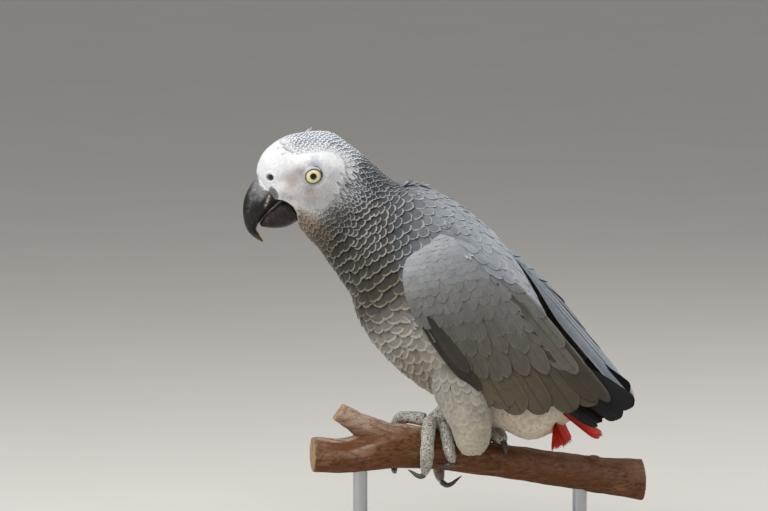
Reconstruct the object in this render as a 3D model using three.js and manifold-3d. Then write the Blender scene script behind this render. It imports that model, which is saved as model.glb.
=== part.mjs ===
// A grey parrot (African grey), life size, gripping a short cut length of branch on a plain display stand.
// Millimetres, +Z up. The bird faces -X, its left side is -Y, and its trunk is upright in the XZ plane.
// The origin is the centre of the stand base's underside.
import * as THREE from "three";
import { mergeVertices } from "three/addons/utils/BufferGeometryUtils.js";
import Module from "manifold-3d";

const wasm = await Module();
wasm.setup();

// ---------- driving dimensions ----------
const GAP = 0.35; // clearance kept between neighbouring solids
const HEAD_TURN = 12; // degrees that the head is turned to the bird's left of its trunk
const NECK_PIVOT_X = -44; // the vertical axis that the head and neck turn about
const BASE = { radius: 72, thickness: 12, chamfer: 1.5 };
const ROD = { radius: 4, places: [-62, 54] }; // each rod's distance along X
const PERCH_YAW = 22; // degrees that the branch runs off the bird's own heading
const EYE = { x: -93.4, z: 213.3, radius: 6.6, side: 13.6 };
const NOSTRIL = { x: -117.6, z: 211.6, radius: 1.5, depth: 2.5 };

// The feathered outline from the bill's base to the root of the tail. Each station is one cross-section:
// dorsal x and z, ventral x and z, half width, how far its widest level sits above the middle, and head turn.
const BODY = [
  [-115.2, 201.7, -111.8, 197.2, 2.0, 0.0, 1],
  [-121.9, 210.8, -104.6, 188.7, 8.5, 0.0, 1],
  [-124.7, 215.8, -101.2, 184.8, 11.5, 0.0, 1],
  [-121.9, 224.3, -98.4, 181.4, 14.2, -0.03, 1],
  [-116.3, 230.5, -95.6, 178.0, 16.4, -0.05, 1],
  [-107.9, 235.3, -92.2, 174.6, 18.4, -0.07, 1],
  [-96.2, 237.6, -88.9, 170.7, 19.6, -0.08, 1],
  [-83.3, 237.4, -86.1, 166.1, 20.3, -0.06, 0.96],
  [-72.7, 230.2, -83.3, 162.1, 20.6, -0.03, 0.87],
  [-62.6, 222.4, -80.0, 157.5, 21.4, 0.0, 0.73],
  [-53.6, 214.0, -76.1, 151.7, 23.2, 0.03, 0.55],
  [-45.9, 208.6, -71.8, 144.9, 26.5, 0.06, 0.35],
  [-35.6, 208.7, -68.5, 134.6, 30.0, 0.09, 0.16],
  [-20.6, 202.6, -63.5, 125.1, 32.8, 0.1, 0],
  [-4.6, 192.6, -55.0, 114.0, 34.0, 0.1, 0],
  [10.9, 178.8, -42.4, 102.5, 34.0, 0.09, 0],
  [23.0, 162.4, -27.5, 92.1, 32.4, 0.07, 0],
  [33.5, 144.5, -8.0, 83.2, 29.5, 0.04, 0],
  [42.2, 126.8, 13.0, 73.4, 24.5, 0.0, 0],
  [48.5, 109.8, 28.6, 66.8, 18.5, 0.0, 0],
  [52.3, 96.6, 41.6, 70.6, 12.0, 0.0, 0],
  [54.5, 87.3, 50.8, 77.1, 5.0, 0.0, 0],
];
// Where the outline is parted into the pieces a person would name: station numbers, ring spacing and slot.
const PARTS = [
  ["cere", 0, 2.3, 0.5, "skin"],
  ["head", 2.3, 8.6, 0.5, "head_feathers"],
  ["neck", 8.6, 11.8, 1, "neck_feathers"],
  ["breast", 11.8, 15.2, 1, "body_feathers"],
  ["trunk", 15.2, 18.0, 1, "body_feathers"],
  ["rump", 18.0, 21.0, 1, "belly_feathers"],
];

// Bill stations in the head's own plane: culmen x and z, cutting edge x and z, half width.
const UPPER_BILL = [
  [-120.0, 214.4, -108.0, 201.0, 8.2],
  [-124.7, 213.0, -110.2, 199.5, 8.4],
  [-128.6, 206.8, -114.1, 196.1, 7.8],
  [-131.4, 200.6, -117.4, 192.9, 6.9],
  [-132.3, 193.8, -120.6, 189.6, 5.9],
  [-131.7, 187.6, -123.6, 186.4, 4.5],
  [-129.8, 182.5, -124.9, 183.1, 3.1],
  [-126.6, 178.8, -123.4, 180.2, 1.7],
  [-121.4, 175.7, -121.0, 176.5, 0.4],
];
const LOWER_BILL = [
  [-108.4, 201.2, -100.4, 188.8, 6.8],
  [-112.0, 200.2, -102.9, 187.1, 7.0],
  [-115.8, 196.8, -107.4, 184.7, 6.8],
  [-119.2, 193.4, -112.6, 183.7, 6.1],
  [-121.6, 189.8, -117.4, 183.8, 4.9],
  [-123.0, 186.2, -121.4, 184.4, 3.2],
];

// A folded wing's two long edges, from the shoulder to the tip: leading edge x, y, z, then back edge x, y, z,
// how far the middle stands out from the line between them, and the thickness.
const WING = [
  [-28.1, 24, 179.1, -10.9, 24, 184.6, 5, 8],
  [-35.8, 31, 171.2, -0.4, 25, 179.9, 7, 10],
  [-37.2, 35, 160.4, 10.8, 24, 171.0, 8, 10],
  [-33.9, 37, 146.6, 23.7, 20, 159.6, 9, 9],
  [-27.1, 37, 133.3, 38.9, 16, 144.8, 10, 8],
  [-12.8, 34, 112.9, 60.7, 12, 117.7, 9, 6],
  [3.6, 31, 95.4, 85.4, 8, 86.6, 7, 4],
];
const RIGHT_WING_RIDE = 7; // how much farther off the back the right wing's back edge rides near its tip
const RIDE_WAY = [0.79, 0.61]; // the way off the back, along X and Z
const WING_PARTS = [
  ["coverts", 0, 0.52, "covert_feathers"],
  ["secondaries", 0.52, 1, "flight_feathers"],
];

// Feather blades: root, tip, half width and thickness at root and tip, facing, camber and slot.
// Y is for the right side, and ride is the share of the wing's ride that the blade goes along with.
const BLADES = {
  primaries: {
    root: [56, 10, 106], tip: [87, 5.4, 84.6], half: [7, 7], thick: [2, 1.6],
    face: [0.1, 1, 0.1], camber: 0.6, slot: "black_feathers", ride: 0.3,
  },
  inner_primaries: {
    root: [44, 13, 91], tip: [69.5, 8.2, 75.5], half: [4, 5], thick: [2, 1.4],
    face: [0.1, 1, 0.1], camber: 0.4, slot: "black_feathers",
  },
  alula: {
    root: [-30.5, 37.5, 141], tip: [0, 36.6, 97], half: [2.6, 4.4], thick: [1.8, 1.4],
    face: [-0.45, 1, -0.35], camber: 0.5, slot: "dark_feathers",
  },
};
const TAIL = {
  root: [46, 0, 87.5], tip: [70.6, 0, 70.2], half: [7.5, 9.5], thick: [4, 2],
  face: [0.59, 0, 0.81], camber: 1.4, slot: "red_feathers",
};
const UNDERTAIL_TUFT = {
  root: [48.4, 0, 77], tip: [52.4, 0, 60.6], half: [8.5, 6], thick: [10.5, 5],
  face: [1, 0, 0.2], camber: 0.5, slot: "red_feathers",
};

// The branch: distance along it, height of its middle and radius. Its cut stub stands near the left end.
const PERCH = [
  [-94, 59.6, 9.8], [-74, 58.8, 9.8], [-56, 62.8, 12.6], [-42, 63.2, 12.4], [-24, 60.6, 11.2],
  [-4, 56.4, 10.0], [20, 52.0, 9.6], [48, 47.2, 9.8], [72, 43.0, 10.4], [94, 40.0, 11.6],
];
const STUB = { from: [-52, 66.5], to: [-79, 83.5], radii: [10.2, 5.2] };

// Feet: place along the branch, turn of the whole foot over its top (+ to the left), and the toes. A toe's
// route gives its turn and its shift along the branch at root, middle and end. Its claw goes on from there,
// shifting and turning farther, and lift is how far its tip stands off the bark.
const FEET = {
  left: {
    along: -24, roll: 0, ankle: [-13, -14, 88],
    toes: {
      inner_front: { radius: 4.1, route: [[14, -4], [70, -7.6], [142, -8.4]], claw: [-9, 6], lift: 1.6 },
      outer_front: { radius: 3.6, route: [[20, 4], [68, 4.4], [108, 7]], claw: [-9, 12], lift: 0 },
      inner_back: { radius: 3.7, route: [[-4, -6], [-34, -19], [-146, -22]], claw: [-1, -28], lift: 0 },
      outer_back: { radius: 3.7, route: [[-24, 3], [-100, 4], [-174, 3.4]], claw: [11, -16], lift: 3.4 },
    },
  },
  right: {
    along: 6, roll: -42, ankle: [4, 13, 85],
    toes: {
      inner_front: { radius: 3.8, route: [[16, -4], [44, -8], [72, -10]], claw: [-1, 34], lift: 0 },
      outer_front: { radius: 4.0, route: [[18, 4], [48, 6], [76, 7]], claw: [1, 36], lift: 0 },
      inner_back: { radius: 3.6, route: [[-20, -5], [-44, -10], [-70, -12]], claw: [-2, -24], lift: 0 },
      outer_back: { radius: 3.6, route: [[-20, 5], [-44, 8], [-72, 9]], claw: [2, -24], lift: 0 },
    },
  },
};
const CLAW = { root: 2.1, tip: 0.35, arch: 0.33 }; // radii, and how much of its length it arches

// The feathered thigh, from the body down over the branch: centre x, y, z, half length along X, half width.
const THIGH = [
  [-8, 22, 112, 16, 11],
  [-5, 24, 98, 17, 12],
  [-2, 25, 86, 14.5, 11.5],
  [1, 25.2, 76, 11, 10.4],
  [1.8, 25.4, 67, 8.4, 8.8],
  [1.4, 25.2, 61.6, 5.0, 5.6],
];

// ---------- materials ----------
const COLOURS = {
  skin: [0xe4dfd8, 0.75], head_feathers: [0xc9cccf, 0.85], neck_feathers: [0x8d9296, 0.85],
  body_feathers: [0xa3a6a9, 0.85], belly_feathers: [0xcfc6b4, 0.9], covert_feathers: [0x9fa3a7, 0.8],
  flight_feathers: [0x7f7d7a, 0.75], dark_feathers: [0x4c4743, 0.7], black_feathers: [0x26262a, 0.65],
  red_feathers: [0xc22414, 0.75], bill: [0x25262a, 0.4], foot: [0xa9a8a4, 0.8], claw: [0x1d1c1c, 0.4],
  eye: [0xd9d37a, 0.1], bark: [0x7a5038, 0.85], stand: [0x2b2b2d, 0.5], rod: [0x9a9ea2, 0.3],
};
const materials = Object.fromEntries(
  Object.entries(COLOURS).map(([slot, [color, roughness]]) => [
    slot,
    new THREE.MeshStandardMaterial({ name: slot, color, roughness, metalness: slot === "rod" ? 0.9 : 0 }),
  ]),
);

// ---------- shape helpers ----------
const vec = (x, y, z) => new THREE.Vector3(x, y, z);
const radians = THREE.MathUtils.degToRad;
const lerp = THREE.MathUtils.lerp;

// One smooth row of a table of numbers at a fractional row number, by a uniform Catmull-Rom spline.
function row(table, at) {
  const i = THREE.MathUtils.clamp(Math.floor(at), 0, table.length - 2);
  const t = at - i;
  const [b, c] = [table[i], table[i + 1]];
  const a = table[i - 1] ?? b.map((v, k) => 2 * v - c[k]);
  const d = table[i + 2] ?? c.map((v, k) => 2 * v - b[k]);
  return b.map((v, k) => {
    const [in_, out] = [(c[k] - a[k]) / 2, (d[k] - v) / 2];
    const [t2, t3] = [t * t, t * t * t];
    return (2 * t3 - 3 * t2 + 1) * v + (t3 - 2 * t2 + t) * in_ + (3 * t2 - 2 * t3) * c[k] + (t3 - t2) * out;
  });
}

// Both ends of a range and each whole multiple of a step between them, so that pieces of a run share facets.
function stops(from, to, step) {
  const found = [from];
  for (let k = Math.ceil(from / step + 0.25); k * step < to; k++) found.push(k * step);
  if (to - found.at(-1) < step / 4) found.pop();
  return [...found, to];
}

// A manifold-3d solid from a closed three.js geometry.
function solidOf(geometry) {
  const bare = geometry.clone();
  bare.deleteAttribute("normal");
  bare.deleteAttribute("uv");
  const merged = mergeVertices(bare, 1e-4);
  const found = new wasm.Manifold(
    new wasm.Mesh({
      numProp: 3,
      vertProperties: new Float32Array(merged.attributes.position.array),
      triVerts: new Uint32Array(merged.index.array),
    }),
  );
  return found;
}

// A closed solid through rings of points. Each ring has as many points, and both ends are capped by fans.
function loft(rings) {
  const count = rings[0].length;
  const middle = (ring) => ring.reduce((sum, p) => sum.add(p), vec(0, 0, 0)).divideScalar(ring.length);
  const points = [...rings.flat(), middle(rings[0]), middle(rings.at(-1))];
  const [first, last] = [points.length - 2, points.length - 1];
  const faces = [];
  for (let i = 0; i < rings.length - 1; i++)
    for (let j = 0; j < count; j++) {
      const [a, b] = [i * count + j, i * count + ((j + 1) % count)];
      faces.push(a, b, b + count, a, b + count, a + count);
    }
  const end = (rings.length - 1) * count;
  for (let j = 0; j < count; j++) {
    const k = (j + 1) % count;
    faces.push(first, k, j, last, end + j, end + k);
  }
  const geometry = new THREE.BufferGeometry().setFromPoints(points).setIndex(faces);
  const made = solidOf(geometry);
  if (made.volume() > 0) return made;
  for (let i = 0; i < faces.length; i += 3) [faces[i], faces[i + 1]] = [faces[i + 1], faces[i]];
  return solidOf(geometry.setIndex(faces));
}

// The largest single body of a solid, so that a cut leaves no crumbs.
const largest = (solid) => solid.decompose().sort((a, b) => b.volume() - a.volume())[0];

// The solid less each of its neighbours, whose grown forms keep the gap.
const clearOf = (solid, ...grown) => largest(grown.reduce((left, other) => left.subtract(other), solid));

// Turns a point of the head's own plane about the neck's axis, by a share of the head's turn.
function turned(x, y, z, share = 1) {
  const angle = radians(HEAD_TURN * share);
  const [along, across] = [x - NECK_PIVOT_X, y];
  return vec(
    NECK_PIVOT_X + along * Math.cos(angle) - across * Math.sin(angle),
    along * Math.sin(angle) + across * Math.cos(angle),
    z,
  );
}

// ---------- head, neck and trunk ----------
const BODY_SIDES = 22;
const FULLNESS = 0.8; // under 1 makes a cross-section squarer than an ellipse

// One ring of the feathered outline, standing out by grow. The widest level sits above or below the middle.
function bodyRing(at, grow = 0) {
  const [dx, dz, vx, vz, half, rise, turn] = row(BODY, at);
  const reach = Math.hypot(dx - vx, dz - vz) / 2;
  const [mx, mz] = [(dx + vx) / 2, (dz + vz) / 2];
  const [ux, uz] = [(dx - vx) / 2 / reach, (dz - vz) / 2 / reach];
  return Array.from({ length: BODY_SIDES }, (_, j) => {
    const angle = (2 * Math.PI * j) / BODY_SIDES;
    const up = (reach + grow) * (Math.cos(angle) + rise * Math.sin(angle) ** 2);
    const wide = (half + grow) * Math.sign(Math.sin(angle)) * Math.abs(Math.sin(angle)) ** FULLNESS;
    return turned(mx + ux * up, wide, mz + uz * up, turn);
  });
}

const bodyPiece = (from, to, step, grow = 0) => loft(stops(from, to, step).map((at) => bodyRing(at, grow)));

const bodyGrown = bodyPiece(10, BODY.length - 1, 1, GAP);

// ---------- eyes and bill ----------
function ball(centre, radius, detail = 10) {
  const geometry = new THREE.SphereGeometry(radius, detail, Math.round(detail * 0.7));
  return solidOf(geometry.translate(centre.x, centre.y, centre.z));
}

// A bill half as a loft of ovals between its ridge and its cutting edge, flatter towards the cutting edge.
function billHalf(stations, steps, grow = 0) {
  const sides = 12;
  const last = stations.length - 1;
  return loft(
    Array.from({ length: steps + 1 }, (_, i) => {
      const [rx, rz, ex, ez, half] = row(stations, (last * i) / steps);
      const [mx, mz] = [(rx + ex) / 2, (rz + ez) / 2];
      const reach = Math.hypot(rx - ex, rz - ez) / 2;
      const [ux, uz] = [(rx - ex) / 2 / reach, (rz - ez) / 2 / reach];
      return Array.from({ length: sides }, (_, j) => {
        const angle = (2 * Math.PI * j) / sides;
        const up = (reach + grow) * Math.cos(angle);
        const wide = (half + grow) * Math.sin(angle) * (1 - 0.12 * Math.cos(angle));
        return turned(mx + ux * up, wide, mz + uz * up);
      });
    }),
  );
}

// ---------- wings, tail and feather blades ----------
const wingRide = (side, along) => {
  const far = side > 0 ? RIGHT_WING_RIDE * Math.sin((Math.PI / 2) * along) ** 2.2 : 0;
  return vec(far * RIDE_WAY[0], 0, far * RIDE_WAY[1]);
};

// A point of a folded wing's outer face: along from shoulder to tip, across from leading edge to back edge.
function wingPoint(side, along, across, sink = 0) {
  const [lx, ly, lz, bx, by, bz, bulge] = row(WING, along * (WING.length - 1));
  const out = bulge * 3.6 * across * (1 - across);
  const y = lerp(ly, by, across) + out - sink;
  const flat = vec(lerp(lx, bx, across), side * y, lerp(lz, bz, across));
  return flat.addScaledVector(wingRide(side, THREE.MathUtils.clamp(along, 0, 1)), across);
}

// The wing between two shares of its length, as a slab with rounded long edges.
function wingSlab(side, from, to, grow = 0) {
  const cells = 7;
  const rings = stops(from, to, 0.1).map((at) => {
    const along = at === from ? at - grow / 110 : at === to ? at + grow / 110 : at;
    const thick = row(WING, at * (WING.length - 1))[7] + grow;
    const share = (j) => lerp(-grow / 30, 1 + grow / 30, j / cells);
    const outer = Array.from({ length: cells + 1 }, (_, j) => wingPoint(side, along, share(j), -grow));
    const inner = Array.from({ length: cells - 1 }, (_, j) => {
      const across = share(cells - 1 - j);
      return wingPoint(side, along, across, thick * Math.min(1, 5 * across * (1 - across) + 0.2));
    });
    return [...outer, ...inner];
  });
  return loft(rings);
}

// A flat feather or fan of feathers: a blade from root to tip, cambered across its face.
function blade({ root, tip, half, thick, face, camber, ride = 0 }, side = 1, grow = 0) {
  const place = ([x, y, z]) => vec(x, side * y, z);
  const moved = wingRide(side, 1).multiplyScalar(ride);
  const [start, end] = [place(root).add(moved), place(tip).add(moved)];
  const run = end.clone().sub(start).normalize();
  const out = place(face).sub(run.clone().multiplyScalar(place(face).dot(run))).normalize();
  const across = run.clone().cross(out);
  const [steps, cells] = [4, 4];
  const rings = Array.from({ length: steps + 1 }, (_, i) => {
    const t = i / steps;
    const wide = (lerp(half[0], half[1], t) + grow) * (i === steps ? 0.72 : 1);
    const deep = lerp(thick[0], thick[1], t) / 2 + grow;
    const at = (c, lift) =>
      start.clone().lerp(end, t)
        .addScaledVector(across, wide * c)
        .addScaledVector(out, lift - camber * c * c);
    const top = Array.from({ length: cells + 1 }, (_, j) => at(-1 + (2 * j) / cells, deep));
    const under = Array.from({ length: cells + 1 }, (_, j) => at(1 - (2 * j) / cells, -deep));
    return [...top, ...under];
  });
  rings[0].forEach((p) => p.addScaledVector(run, -grow));
  rings.at(-1).forEach((p) => p.addScaledVector(run, grow));
  return loft(rings);
}

// ---------- branch, feet and stand ----------
const perchRun = vec(Math.cos(radians(PERCH_YAW)), Math.sin(radians(PERCH_YAW)), 0);
const perchNear = vec(perchRun.y, -perchRun.x, 0); // level, square to the branch, towards the bird's left
const PERCH_OFFSET = 0.1; // the branch's axis passes this far to the bird's right of the origin

const perchAt = (along) => {
  const last = PERCH.length - 1;
  let i = PERCH.findIndex((station) => station[0] > along);
  i = i < 0 ? last : Math.max(1, i);
  const share = (along - PERCH[i - 1][0]) / (PERCH[i][0] - PERCH[i - 1][0]);
  const [, z, radius] = row(PERCH, THREE.MathUtils.clamp(i - 1 + share, 0, last));
  return { centre: perchRun.clone().multiplyScalar(along).add(vec(0, PERCH_OFFSET, z)), radius };
};

// A point at a height over the branch's bark: along it, and turned over its top towards the near side.
function overPerch(along, turn, height) {
  const { centre, radius } = perchAt(along);
  return centre
    .add(vec(0, 0, (radius + height) * Math.cos(radians(turn))))
    .addScaledVector(perchNear, (radius + height) * Math.sin(radians(turn)));
}

function perchSolid(grow = 0) {
  const [steps, sides] = [14, 12];
  const [start, end] = [PERCH[0][0] - grow, PERCH.at(-1)[0] + grow];
  const ring = (along) => Array.from({ length: sides }, (_, j) => overPerch(along, (360 * j) / sides, grow));
  const branch = loft(Array.from({ length: steps + 1 }, (_, i) => ring(lerp(start, end, i / steps))));
  const [a, b] = [STUB.from, STUB.to].map(([along, z]) => perchRun.clone().multiplyScalar(along).setZ(z));
  return branch.add(tube([a, a.clone().lerp(b, 0.5), b], STUB.radii.map((r) => r + grow), 10, 4));
}

// A tube along a smooth curve through points, whose radius goes from the first to the last of radii.
function tube(points, radii, sides = 8, steps = 8) {
  const curve = new THREE.CatmullRomCurve3(points);
  const frames = curve.computeFrenetFrames(steps, false);
  return loft(
    Array.from({ length: steps + 1 }, (_, i) => {
      const t = i / steps;
      const at = curve.getPointAt(t);
      const spot = t * (radii.length - 1);
      const k = Math.min(Math.floor(spot), radii.length - 2);
      const radius = lerp(radii[k], radii[k + 1], spot - k);
      return Array.from({ length: sides }, (_, j) => {
        const angle = (2 * Math.PI * j) / sides;
        return at.clone()
          .addScaledVector(frames.normals[i], radius * Math.cos(angle))
          .addScaledVector(frames.binormals[i], radius * Math.sin(angle));
      });
    }),
  );
}

// The middle line of a toe, lying on the bark, and of the claw that goes on from its end.
function toeLine(foot, { radius, route, lift }) {
  return Array.from({ length: 7 }, (_, i) => {
    const [turn, shift] = row(route, i / 3);
    const height = GAP + radius * (1.02 - 0.02 * i) + lift * (i / 6) ** 2;
    return overPerch(foot.along + shift, foot.roll + turn, height);
  });
}
function clawLine(foot, { radius, route, claw, lift }) {
  const [turn, shift] = route.at(-1);
  const length = Math.hypot(claw[0], radians(claw[1]) * (perchAt(foot.along).radius + radius));
  return Array.from({ length: 5 }, (_, i) => {
    const t = i / 4;
    const arch = CLAW.arch * length * Math.sin(Math.PI * t) * (1 - t);
    const height = GAP + radius * (0.9 - 0.5 * t) + arch + lift * (1 - t * t);
    return overPerch(foot.along + shift + claw[0] * t, foot.roll + turn + claw[1] * t, height);
  });
}

// ---------- assembly ----------
const bird = new THREE.Group();
const stand = new THREE.Group();

// Adds a solid to a group as its own named mesh, standing at the middle of its own box.
function addNode(group, name, solid, slot) {
  const { vertProperties, triVerts, numProp } = solid.getMesh();
  const positions = new Float32Array((vertProperties.length / numProp) * 3);
  for (let i = 0; i < positions.length / 3; i++)
    positions.set(vertProperties.subarray(i * numProp, i * numProp + 3), i * 3);
  const geometry = new THREE.BufferGeometry();
  geometry.setAttribute("position", new THREE.BufferAttribute(positions, 3));
  geometry.setIndex(new THREE.BufferAttribute(new Uint32Array(triVerts), 1));
  geometry.computeBoundingBox();
  const middle = geometry.boundingBox.getCenter(vec(0, 0, 0));
  geometry.translate(-middle.x, -middle.y, -middle.z);
  geometry.computeVertexNormals();
  const mesh = new THREE.Mesh(geometry, materials[slot]);
  mesh.name = name;
  mesh.position.copy(middle);
  group.add(mesh);
}

const SIDES = [["left", -1], ["right", 1]];
const perchGrown = perchSolid(GAP);
const eyes = SIDES.map(([, side]) => turned(EYE.x, side * EYE.side, EYE.z));
const eyeSockets = eyes.map((centre) => ball(centre, EYE.radius + GAP));
const nostrils = SIDES.map(([, side]) => {
  return ball(turned(NOSTRIL.x, side * 9.6, NOSTRIL.z), NOSTRIL.radius, 8);
});
const upperBill = (grow) => billHalf(UPPER_BILL, 12, grow);
const lowerBill = (grow) => billHalf(LOWER_BILL, 5, grow);

// A wing slab and its blades stay clear of the body and of each other, in the order they are laid on.
for (const [word, side] of SIDES) {
  const alula = blade(BLADES.alula, side);
  const alulaGrown = blade(BLADES.alula, side, GAP);
  const wingGrown = wingSlab(side, 0, 1, GAP);
  for (const [part, from, to, slot] of WING_PARTS) {
    const slab = wingSlab(side, from + (from ? 0.004 : 0), to);
    addNode(bird, `wing_${word}_${part}`, clearOf(slab, bodyGrown, alulaGrown), slot);
  }
  addNode(bird, `wing_${word}_alula`, clearOf(alula, bodyGrown), BLADES.alula.slot);
  const outer = clearOf(blade(BLADES.primaries, side), wingGrown, bodyGrown);
  addNode(bird, `wing_${word}_primaries`, outer, BLADES.primaries.slot);
  const tailGrown = blade(TAIL, 1, GAP);
  const inner = clearOf(blade(BLADES.inner_primaries, side), wingGrown, bodyGrown, tailGrown,
    blade(BLADES.primaries, side, GAP));
  addNode(bird, `wing_${word}_inner_primaries`, inner, BLADES.inner_primaries.slot);
}

addNode(bird, "tail", clearOf(blade(TAIL), bodyGrown), TAIL.slot);
const tuft = clearOf(blade(UNDERTAIL_TUFT), bodyGrown, blade(TAIL, 1, GAP));
addNode(bird, "undertail_tuft", tuft, UNDERTAIL_TUFT.slot);

// Thighs are cut out of the body's own outline, so that each is a piece of its own down to the foot.
const thigh = (side, grow = 0) =>
  loft(
    stops(0, THIGH.length - 1, 1).map((at) => {
      const [x, y, z, long, wide] = row(THIGH, at);
      return Array.from({ length: 14 }, (_, j) => {
        const angle = (2 * Math.PI * j) / 14;
        return vec(
          x + (long + grow) * Math.cos(angle),
          side * (y + (wide + grow) * Math.sin(angle)),
          z - (at ? grow : 0),
        );
      });
    }),
  );

const footParts = {};
for (const [word, foot] of Object.entries(FEET)) {
  const padCentre = overPerch(foot.along, foot.roll, GAP + 4.6);
  const ankle = vec(...foot.ankle);
  const middle = padCentre.clone().lerp(ankle, 0.5);
  const shank = (grow) => tube([padCentre, middle, ankle], [5 + grow, 4.4 + grow], 10, 2);
  const pad = (grow) => shank(grow).add(ball(padCentre, 5.8 + grow, 10));
  footParts[word] = { foot, pad };
  addNode(bird, `foot_${word}`, clearOf(pad(0), perchGrown), "foot");
  const laid = [pad(GAP)];
  for (const [toeName, toe] of Object.entries(foot.toes)) {
    const [line, claw] = [toeLine(foot, toe), clawLine(foot, toe)];
    const radii = (grow) => [1, 0.98, 0.86, 0.94, 0.72].map((share) => toe.radius * share + grow);
    const clawRadii = (grow) => [CLAW.root + grow, CLAW.root * 0.85 + grow, CLAW.tip + grow];
    const toeGrown = tube(line, radii(GAP), 8, 7);
    const toeSolid = clearOf(tube(line, radii(0), 8, 7), perchGrown, ...laid);
    const clawSolid = clearOf(tube(claw, clawRadii(0), 6, 5), perchGrown, toeGrown, ...laid);
    addNode(bird, `toe_${word}_${toeName}`, toeSolid, "foot");
    addNode(bird, `claw_${word}_${toeName}`, clawSolid, "claw");
    laid.push(toeGrown, tube(claw, clawRadii(GAP), 6, 5));
  }
  footParts[word].laid = laid;
}

const bodyCuts = [thigh(-1, GAP), thigh(1, GAP), footParts.left.pad(GAP), footParts.right.pad(GAP)];
for (const [name, from, to, step, slot] of PARTS) {
  let solid = bodyPiece(from + (from ? 0.03 : 0), to, step);
  if (name === "cere") solid = clearOf(solid, upperBill(GAP), lowerBill(GAP), ...nostrils);
  if (name === "head") solid = clearOf(solid, upperBill(GAP), lowerBill(GAP), ...eyeSockets);
  addNode(bird, name, clearOf(solid, ...bodyCuts), slot);
}
for (const [word, side] of SIDES) {
  const others = [perchGrown, ...footParts.left.laid, ...footParts.right.laid, thigh(-side, GAP)];
  const { alula, inner_primaries: inner } = BLADES;
  const wings = [wingSlab(side, 0, 1, GAP), blade(alula, side, GAP), blade(inner, side, GAP)];
  addNode(bird, `thigh_${word}`, clearOf(thigh(side), ...others, ...wings), "belly_feathers");
}
SIDES.forEach(([word], i) => addNode(bird, `eye_${word}`, ball(eyes[i], EYE.radius), "eye"));
addNode(bird, "bill_upper", clearOf(upperBill(0)), "bill");
addNode(bird, "bill_lower", clearOf(lowerBill(0), upperBill(GAP)), "bill");

// The stand: a turned disc, and two rods cut to the branch's underside.
const half = BASE.radius;
const profile = [
  [0, 0], [half - BASE.chamfer, 0], [half, BASE.chamfer], [half, BASE.thickness - BASE.chamfer],
  [half - BASE.chamfer, BASE.thickness], [0, BASE.thickness],
].map(([r, y]) => new THREE.Vector2(r, y));
const disc = new THREE.LatheGeometry(profile, 36).rotateX(Math.PI / 2);
addNode(stand, "stand_base", solidOf(disc), "stand");
ROD.places.forEach((x, i) => {
  const along = x / perchRun.x;
  const { centre } = perchAt(along);
  const [bottom, top] = [BASE.thickness + GAP, centre.z];
  const rod = new THREE.CylinderGeometry(ROD.radius, ROD.radius, top - bottom, 16)
    .rotateX(Math.PI / 2)
    .translate(centre.x, centre.y, (top + bottom) / 2);
  addNode(stand, `stand_rod_${i + 1}`, clearOf(solidOf(rod), perchGrown), "rod");
});
addNode(stand, "perch", perchSolid(), "bark");

const parrot = new THREE.Group();
parrot.add(bird, stand);
export default parrot;
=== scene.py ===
# %% [markdown]
# # A grey parrot, feather by feather
#
# The frame already holds the parrot's solids: head, neck, breast, wings, feet, branch and stand. This lesson
# dresses them. One skin goes under all the feathers, each feather is a thin closed mesh of its own laid over
# that skin, and the hard parts - bill, eyes, claws - are finer copies of their solids.
#
# Every shape starts as the same few named sizes that the solids use, so nothing has to be fitted afterwards.
# Lengths in the tables are millimetres, and `MM` turns them into metres when a mesh is made.

# %% The frame
import math

import bpy
import numpy as np
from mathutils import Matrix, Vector
from mathutils.kdtree import KDTree


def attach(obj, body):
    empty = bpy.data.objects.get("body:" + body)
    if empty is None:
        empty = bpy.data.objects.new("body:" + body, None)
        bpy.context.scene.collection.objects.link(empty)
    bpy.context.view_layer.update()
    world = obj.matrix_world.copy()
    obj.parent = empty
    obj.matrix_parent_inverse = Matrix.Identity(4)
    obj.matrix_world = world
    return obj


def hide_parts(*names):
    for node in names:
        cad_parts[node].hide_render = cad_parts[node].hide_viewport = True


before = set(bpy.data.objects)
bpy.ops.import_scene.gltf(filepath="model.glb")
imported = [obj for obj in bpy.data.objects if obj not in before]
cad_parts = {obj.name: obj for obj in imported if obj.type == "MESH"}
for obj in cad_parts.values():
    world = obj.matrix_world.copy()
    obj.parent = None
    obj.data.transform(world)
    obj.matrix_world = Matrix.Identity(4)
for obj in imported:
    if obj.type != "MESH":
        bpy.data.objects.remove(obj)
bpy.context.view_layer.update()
MM = 0.001
rng = np.random.default_rng(7)
print("solids in the frame:", len(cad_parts))

# %% [markdown]
# ## The outline of the body
#
# A bird's body is one smooth form from the bill to the tail, so it can be given as a row of cross-sections.
# Sculpting it by hand would work too, but then no other piece could ask where the surface is. Here every
# feather asks exactly that, so the body is a formula: a table of sections, and a smooth blend between them.

# %% Sections of the body
HEAD_TURN = math.radians(12)  # the head is turned to the bird's left
NECK_PIVOT_X = -44.0  # the upright axis that it turns about
FULLNESS = 0.8  # under 1 makes a section squarer than an ellipse
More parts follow.
